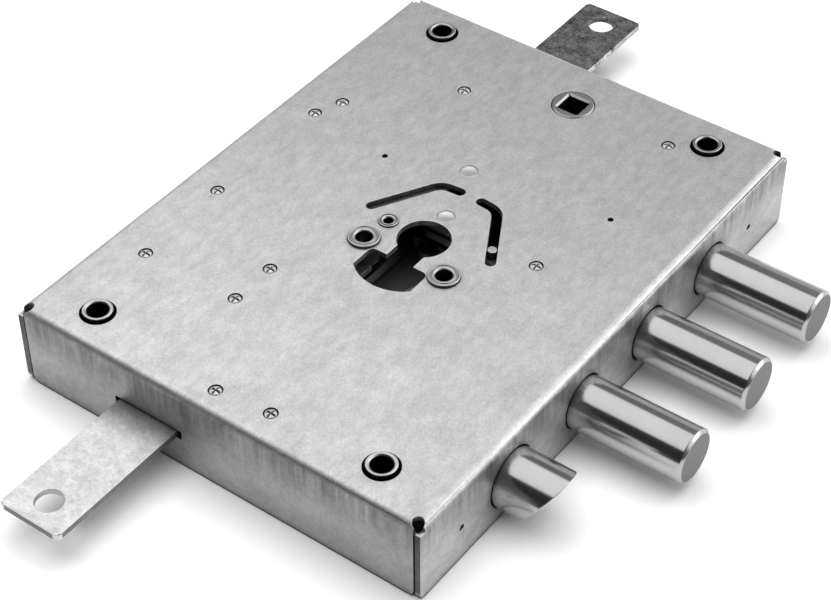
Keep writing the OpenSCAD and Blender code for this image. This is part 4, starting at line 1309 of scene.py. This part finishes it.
@dataclass
class CaseShell(SubAssembly):
    """Folded case, cover plate, and what is riveted or screwed to them."""

    face_low: float = 28.0
    face_top: float = 30.0
    hole_box: tuple = (-76.0, -93.0, 66.0, 101.0)
    hole_soft: float = 0.15
    posts: tuple = ((-63.9, 40.4), (37.3, 85.3), (-66.3, -56.7), (9.5, -87.8))
    post_steps: tuple = ((2.0, 4.0),)
    rod_pins: tuple = ((-30.3, -39.4), (-30.3, -56.2), (-34.4, 70.0))
    rod_pin_steps: tuple = ((2.2, 2.2), (14.4, 2.2), (14.4, 3.4))
    carriage_pins: tuple = ((-68.0, -20.0),)
    carriage_pin_steps: tuple = ((2.0, 3.2), (6.8, 3.2), (6.8, 2.2), (11.2, 2.2), (11.2, 3.2))
    pivots: tuple = ((-67.8, 30.4),)
    pivot_steps: tuple = ((13.0, 3.5), (14.4, 3.5), (14.4, 2.4))
    link_pins: tuple = ((35.6, 10.3),)
    link_pin_steps: tuple = ((22.5, 2.2),)
    bracket_pins: tuple = ((-9.5, -90.0),)
    bracket_pin_steps: tuple = ((24.8, 3.4), (26.0, 3.4), (26.0, 2.2))
    head_hole_r: float = 2.33
    rivets: tuple = ((-8.0, 35.7), (-0.75, 12.8))
    rivet: Stub = Stub(((25.5, POLE_R), (25.5, 2.2), (28.0, 2.2), (28.0, 3.0), (29.9, 3.0),
                        (29.9, 2.5), (29.68, 1.3), (29.6, POLE_R)), 0.42)
    rivet_hole_r: float = 3.03
    corners: tuple = ((-60.0, -85.5), (-60.0, 92.5), (48.0, -85.5), (48.0, 92.5))
    corner_bush: Bush = Bush(r=4.8, bore=3.4, low=0.0, high=31.2, spigot=4.1)
    corner_hole_r: float = 5.7
    escutcheon: tuple = ((-15.5, -10.8), (15.5, -10.8))
    escutcheon_bush: Bush = Bush(r=5.25, bore=2.7, low=22.5, high=31.0)
    escutcheon_hole_r: float = 5.28
    small: tuple = ((-14.2, 0.3),)
    small_bush: Bush = Bush(r=3.3, bore=1.5, low=22.5, high=30.6)
    small_hole_r: float = 3.33
    plain_holes: tuple = ((-34.9, 25.8), (42.3, 42.4))
    plain_r: float = 1.0
    follower: tuple = ((0.0, 85.0),)
    follower_hole_r: float = 7.47
    cylinder_r: float = 8.75
    neck: float = 5.1
    lobe: float = 11.0
    lobe_top: float = -12.8
    lobe_r: float = 16.0
    lobe_low: float = -10.6
    lobe_corner: float = 2.0
    bent_slot: tuple = ((4.2, 25.4), (11.0, 24.8), (23.2, 3.2))
    bent_slot_half: float = 1.8
    bend_r: float = 3.5

    def opening(self) -> np.ndarray:
        """Outline of the cylinder's opening: a circle, a neck with straight sides, and a lobe.

        Returns:
            Points counter-clockwise, with the corners at the neck rounded.
        """
        meet = math.degrees(math.asin(self.neck / self.cylinder_r))
        foot = math.degrees(math.asin(self.lobe / self.lobe_r))
        corner = self.lobe_corner
        in_x, in_y = self.lobe - corner, self.lobe_top - corner
        return rounded(np.concatenate([
            arc((0, 0), self.cylinder_r, meet - 90, 270 - meet, 90), [(-self.neck, self.lobe_top)],
            arc((-in_x, in_y), corner, 90, 180, 8),
            arc((0, self.lobe_low), self.lobe_r, 270 - foot, 270 + foot, 40),
            arc((in_x, in_y), corner, 0, 90, 8), [(self.neck, self.lobe_top)]]), 0.3, 5, loop=True)

    def holes(self) -> list[np.ndarray]:
        """Outlines of all holes in the visible face.

        Returns:
            Points counter-clockwise: the opening, both bent slots and the round holes.
        """
        right = bent_outline(np.array(self.bent_slot, float), self.bent_slot_half, self.bend_r)
        left = (right * (-1, 1))[::-1]
        heads = (*self.posts, *self.rod_pins, *self.carriage_pins, *self.pivots, *self.link_pins,
                 *self.bracket_pins)
        round_holes = ((heads, self.head_hole_r), (self.rivets, self.rivet_hole_r),
                       (self.plain_holes, self.plain_r), (self.corners, self.corner_hole_r),
                       (self.escutcheon, self.escutcheon_hole_r), (self.small, self.small_hole_r),
                       (self.follower, self.follower_hole_r))
        return [self.opening(), right, left,
                *(circle(at, r) for places, r in round_holes for at in places)]

    def punched(self, work: Work) -> None:
        """Give the case's visible face its smooth holes."""
        punch(work, self.holes(), self.face_low, self.face_top, self.hole_box, self.hole_soft)

    def build(self) -> None:
        """Build and dress the shell's pieces."""
        self.copy("case_body", CASE_ZINC, 0.22, self.punched)
        self.copy("cover_plate", COVER_ZINC, 0.2)
        self.copy("cover_screws", SCREW_STEEL, 0.08)
        self.copy("drill_plate", HARD_STEEL, 0.15)
        self.copy("bolt_guide_plate", INNER_ZINC, 0.2)
        self.copy("latch_bracket", INNER_ZINC, 0.2)
        for node, places, steps in (
                ("cover_posts", self.posts, self.post_steps),
                ("rod_guide_pins", self.rod_pins, self.rod_pin_steps),
                ("carriage_guide_pin", self.carriage_pins, self.carriage_pin_steps),
                ("detent_pivot", self.pivots, self.pivot_steps),
                ("link_guide_pin", self.link_pins, self.link_pin_steps),
                ("bracket_pin", self.bracket_pins, self.bracket_pin_steps)):
            self.set_in(node, places, StakedPin(steps), PIN_STEEL)
        self.set_in("corner_bushes", self.corners, self.corner_bush, BUSH_STEEL)
        self.set_in("cylinder_bushes", self.escutcheon, self.escutcheon_bush, BUSH_STEEL)
        self.set_in("small_bush", self.small, self.small_bush, BUSH_STEEL)
        self.set_in("plate_rivets", self.rivets, self.rivet, RIVET_STEEL)


@dataclass
class BoltPack(SubAssembly):
    """Carriage with three round deadbolts, their screws and the pins that drive the rods."""

    axis_z: float = 13.0
    bolt_r: float = 9.0
    rear_x: float = 51.0
    flat_end_x: float = 65.7
    flat_drop: float = 2.0
    tip_x: float = 110.5
    chamfer: float = 1.0
    bolts: tuple = (("deadbolt_top", 58.0), ("deadbolt_middle", 21.0), ("deadbolt_bottom", -16.0))
    drives: tuple = ((-17.0, 46.0), (-22.0, -10.0))
    drive_pin: Stub = Stub(((7.0, POLE_R), (7.0, 2.2), (14.2, 2.2), (14.2, POLE_R)), 0.3)

    def deadbolt(self, y: float) -> Surface:
        """A deadbolt: a round bar with a chamfered nose, whose rear is flat below its axis.

        The profile is turned round X; behind the flat's end, height above the axis is never less
        than minus the flat's drop.

        Args:
            y: Where its axis lies.

        Returns:
            The closed surface in its place.
        """
        r, nose_r = self.bolt_r, self.bolt_r - self.chamfer
        body = np.array([(self.rear_x, POLE_R), (self.rear_x, r), (self.flat_end_x, r)])
        nose = np.array([(self.flat_end_x + 0.01, r), (self.tip_x - self.chamfer, r),
                         (self.tip_x, nose_r), (self.tip_x, POLE_R)])
        inner_r = np.linspace(nose_r - self.chamfer, 0.3, 8)
        inner = np.stack([np.full(8, self.tip_x), inner_r], -1)
        shape = turned(np.concatenate([body, rounded(nose, 0.22)[:-1], inner]), MANY)
        height, x = shape.points[:, 1], shape.points[:, 2]
        flat = x < self.flat_end_x + 0.005
        shape.points[:, 1] = np.where(flat, np.maximum(height, -self.flat_drop), height)
        return laid(shape, Axis.X, (0, y, self.axis_z))

    def build(self) -> None:
        """Build and dress the pack's pieces."""
        self.copy("bolt_carriage", INNER_ZINC, 0.2, merge=0.05)
        for node, y in self.bolts:
            self.made(node, self.deadbolt(y), BOLT_CHROME)
        self.copy("bolt_screws", SCREW_STEEL, 0.1)
        self.set_in("rod_drive_pins", self.drives, self.drive_pin, PIN_STEEL)


@dataclass
class RodPair(SubAssembly):
    """The two flat rods that leave the case at its ends."""

    def build(self) -> None:
        """Build and dress the rods."""
        self.copy("upper_rod", UPPER_ROD_ZINC_SHADED, 0.25)
        self.copy("lower_rod", LOWER_ROD_ZINC, 0.25)


@dataclass
class Detent(SubAssembly):
    """Lever that blocks the carriage, its stud and its spring, with a leg on the rear flange."""

    spring: TorsionSpring = TorsionSpring(
        post=(-63.9, 40.4), leg=((-43.9, 35.3), (-51.9, 42.9)), end=(-79.2, 45.4), level=16.1,
        turns=4.0, climb=6.8)

    def build(self) -> None:
        """Build and dress the lever, stud and spring."""
        self.copy("detent_lever", INNER_ZINC, 0.2, merge=0.05)
        self.copy("detent_stud", PIN_STEEL, 0.2)
        self.made("detent_spring", self.spring.surface(), SPRING_STEEL)


@dataclass
class Handle(SubAssembly):
    """Follower with its pin, the link that it lifts, and its spring, with a leg on its arm."""

    spring: TorsionSpring = TorsionSpring(
        post=(37.3, 85.3), leg=((15.86, 92.16), (28.3, 92.16)), end=(32.3, 103.7), level=21.0,
        turns=-3.75, climb=-6.375)

    def build(self) -> None:
        """Build and dress the handle's pieces."""
        self.copy("follower", FOLLOWER_STEEL, 0.12)
        self.copy("follower_pin", PIN_STEEL, 0.15)
        self.made("follower_spring", self.spring.surface(), SPRING_STEEL)
        self.copy("latch_link", INNER_ZINC, 0.2)
        self.copy("link_stud", PIN_STEEL, 0.2)


@dataclass
class Latch(SubAssembly):
    """Bevelled latch with its tail, stud and spring."""

    y: float = -54.0
    axis_z: float = 13.0
    bolt_r: float = 10.0
    tail_r: float = 4.0
    tail_x: float = 10.0
    rear_x: float = 46.0
    tip_x: float = 91.0
    bevel: float = 0.7
    bracket_x: float = 17.0
    spring_gap: float = 0.7
    spring_r: float = 5.0
    spring_turns: float = 8.0
    spring_len: float = 27.6
    wire_d: float = 1.2
    pressed: float = 0.38

    def bolt(self) -> Surface:
        """The latch: a round bar with a thinner tail, bevelled back towards the underside.

        The profile is turned round X. Rings at the tip lie in the plane x = tip - bevel (top - z),
        with z the height of their points and top that of the bar; each smaller ring keeps to it.

        Returns:
            The closed surface in its place.
        """
        bar = rounded(np.array([(self.tail_x, POLE_R), (self.tail_x, self.tail_r),
                                (self.rear_x, self.tail_r), (self.rear_x, self.bolt_r),
                                (self.tip_x, self.bolt_r)]), 0.5)
        cut_r = np.linspace(self.bolt_r, 0.3, 14)
        cut = np.stack([np.full(len(cut_r), self.tip_x), cut_r], -1)
        shape = turned(np.concatenate([bar, cut[1:]]), MANY)
        height, x = shape.points[:, 1], shape.points[:, 2]
        shape.points[:, 2] = np.where(x == self.tip_x, x - self.bevel * (self.bolt_r - height), x)
        return laid(shape, Axis.X, (0, self.y, self.axis_z))

    def spring(self) -> Surface:
        """The compression spring: a coil along the tail, from bracket to shoulder."""
        path = coil(self.spring_r, 0, self.spring_turns, self.spring_len)[:, [2, 0, 1]]
        path += (self.bracket_x + self.spring_gap, self.y, self.axis_z)
        return wire(through(path), (1, 0, 0), self.wire_d)

    def build(self) -> None:
        """Build and dress the latch's pieces."""
        self.made("latch_bolt", self.bolt(), BOLT_CHROME, 0.3)
        self.copy("latch_stud", PIN_STEEL, 0.15)
        spring = self.made("latch_spring", self.spring(), SPRING_STEEL)
        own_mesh(spring)


@dataclass
class Studio:
    """Pale floor, soft lights and the camera at the photograph's angle."""

    azimuth: float = 0.640345261
    elevation: float = 0.745757256
    roll: float = -0.0064072
    eye: tuple = (306.1277, -415.5443, 480.5637)
    lens: float = 94.362
    floor_half: float = 0.9
    floor_z: float = -0.0002
    paper: float = 0.93
    mirrored: float = 0.7
    dark_way: Spot = (-0.25, -0.8, -0.45)
    window_way: Spot = (0.58, 0.64, 0.5)

    def camera(self) -> None:
        """Set the camera, which looks from the eye along minus c, its way from the object."""
        az, el, ro = self.azimuth, self.elevation, self.roll
        c = Vector((math.sin(az) * math.cos(el), -math.cos(az) * math.cos(el), math.sin(el)))
        level = Vector((math.cos(az), math.sin(az), 0))
        over = level.cross(-c)
        right = math.cos(ro) * level + math.sin(ro) * over
        up = -math.sin(ro) * level + math.cos(ro) * over
        data = bpy.data.cameras.new("camera")
        data.sensor_fit, data.sensor_width, data.lens = "HORIZONTAL", 36.0, self.lens
        data.clip_start, data.clip_end = 0.01, 10.0
        camera = in_scene("camera", data)
        place = Matrix((right, up, c)).transposed().to_4x4()
        place.translation = Vector(self.eye) * MM
        camera.matrix_world = place
        bpy.context.scene.camera = camera

    def floor(self) -> None:
        """Lay the pale floor just under the cover plate; glossy rays see it a darker grey, a
        painted reflection tone.
        """
        h, z = self.floor_half, self.floor_z
        mesh = bpy.data.meshes.new("floor")
        mesh.from_pydata([(-h, -h, z), (h, -h, z), (h, h, z), (-h, h, z)], [], [(0, 1, 2, 3)])
        made = bpy.data.materials.new("floor_paper")
        made.use_nodes = True
        k = Knots(made.node_tree)
        # Painted reflection: shiny metal mirrors the floor in a darker grey (mirrored) than the
        # camera sees.
        glossy = k.add("LightPath").outputs["Is Glossy Ray"]
        paper = k.math("MULTIPLY_ADD", glossy, self.mirrored - self.paper, self.paper)
        k.feed(made.node_tree.nodes["Principled BSDF"], {
            "Base Color": k.grey(paper), "Roughness": 0.9, "Specular IOR Level": 0.1})
        mesh.materials.append(made)
        in_scene("floor", mesh)

    def area(self, name: str, place: Spot, target: Spot, size: Place, glow: float,
             gloss: bool = True) -> None:
        """Hang a rectangular soft light that looks at a point.

        Args:
            name: The light's name.
            place: Where it hangs, in metres.
            target: What it looks at, in metres.
            size: Its width and height in metres.
            glow: Its radiance.
            gloss: Whether shiny metal mirrors it.
        """
        data = bpy.data.lights.new(name, "AREA")
        data.shape, data.size, data.size_y = "RECTANGLE", *size
        data.energy = glow * math.pi * size[0] * size[1]
        lamp = in_scene(name, data)
        lamp.visible_glossy, lamp.visible_camera = gloss, False
        lamp.location = place
        lamp.rotation_mode = "QUATERNION"
        lamp.rotation_quaternion = (Vector(target) - Vector(place)).to_track_quat("-Z", "Y")

    def sky(self) -> None:
        """Colour the room: pale above and behind, dark low down in front."""
        world = bpy.data.worlds.new("room")
        world.use_nodes = True
        bpy.context.scene.world = world
        k = Knots(world.node_tree)
        way = k.add("TexCoord").outputs["Generated"]
        dark = k.spread(k.dot(way, self.dark_way), -0.25, 0.35, 0.15, 0.03)
        window = k.spread(k.dot(way, self.window_way), 0.55, 0.84, 0.0, 0.9)
        k.feed(world.node_tree.nodes["Background"],
               {"Color": k.grey(k.math("ADD", dark, window)), "Strength": 1.0})

    def build(self) -> None:
        """Set camera, floor, lights and room."""
        self.camera()
        self.floor()
        self.sky()
        self.area("key", (-0.35, -0.025, 0.35), (-0.35, -0.025, 0), (0.8, 0.53), 0.93)
        self.area("card", (-0.75, 1.35, 0.35), (0, 0, 0.05), (1.6, 0.6), 0.35)
        self.area("side", (1.2, 1.1, 0.7), (0, 0, 0), (1.3, 1.0), 0.8)
        self.area("fill", (0.0, 0.0, 1.6), (0, 0, 0), (1.8, 1.8), 2.6, gloss=False)
        bpy.context.scene.view_settings.view_transform = "Standard"


def main() -> None:
    """Build the studio and the sub-assemblies in order."""
    logging.basicConfig(level=logging.INFO, format="%(name)s: %(message)s")
    Studio().build()
    groups = Groups()
    for part in (CaseShell, BoltPack, RodPair, Detent, Handle, Latch):
        LOG.info("building %s", part.__name__)
        part(groups).build()


if __name__ == "__main__":
    main()
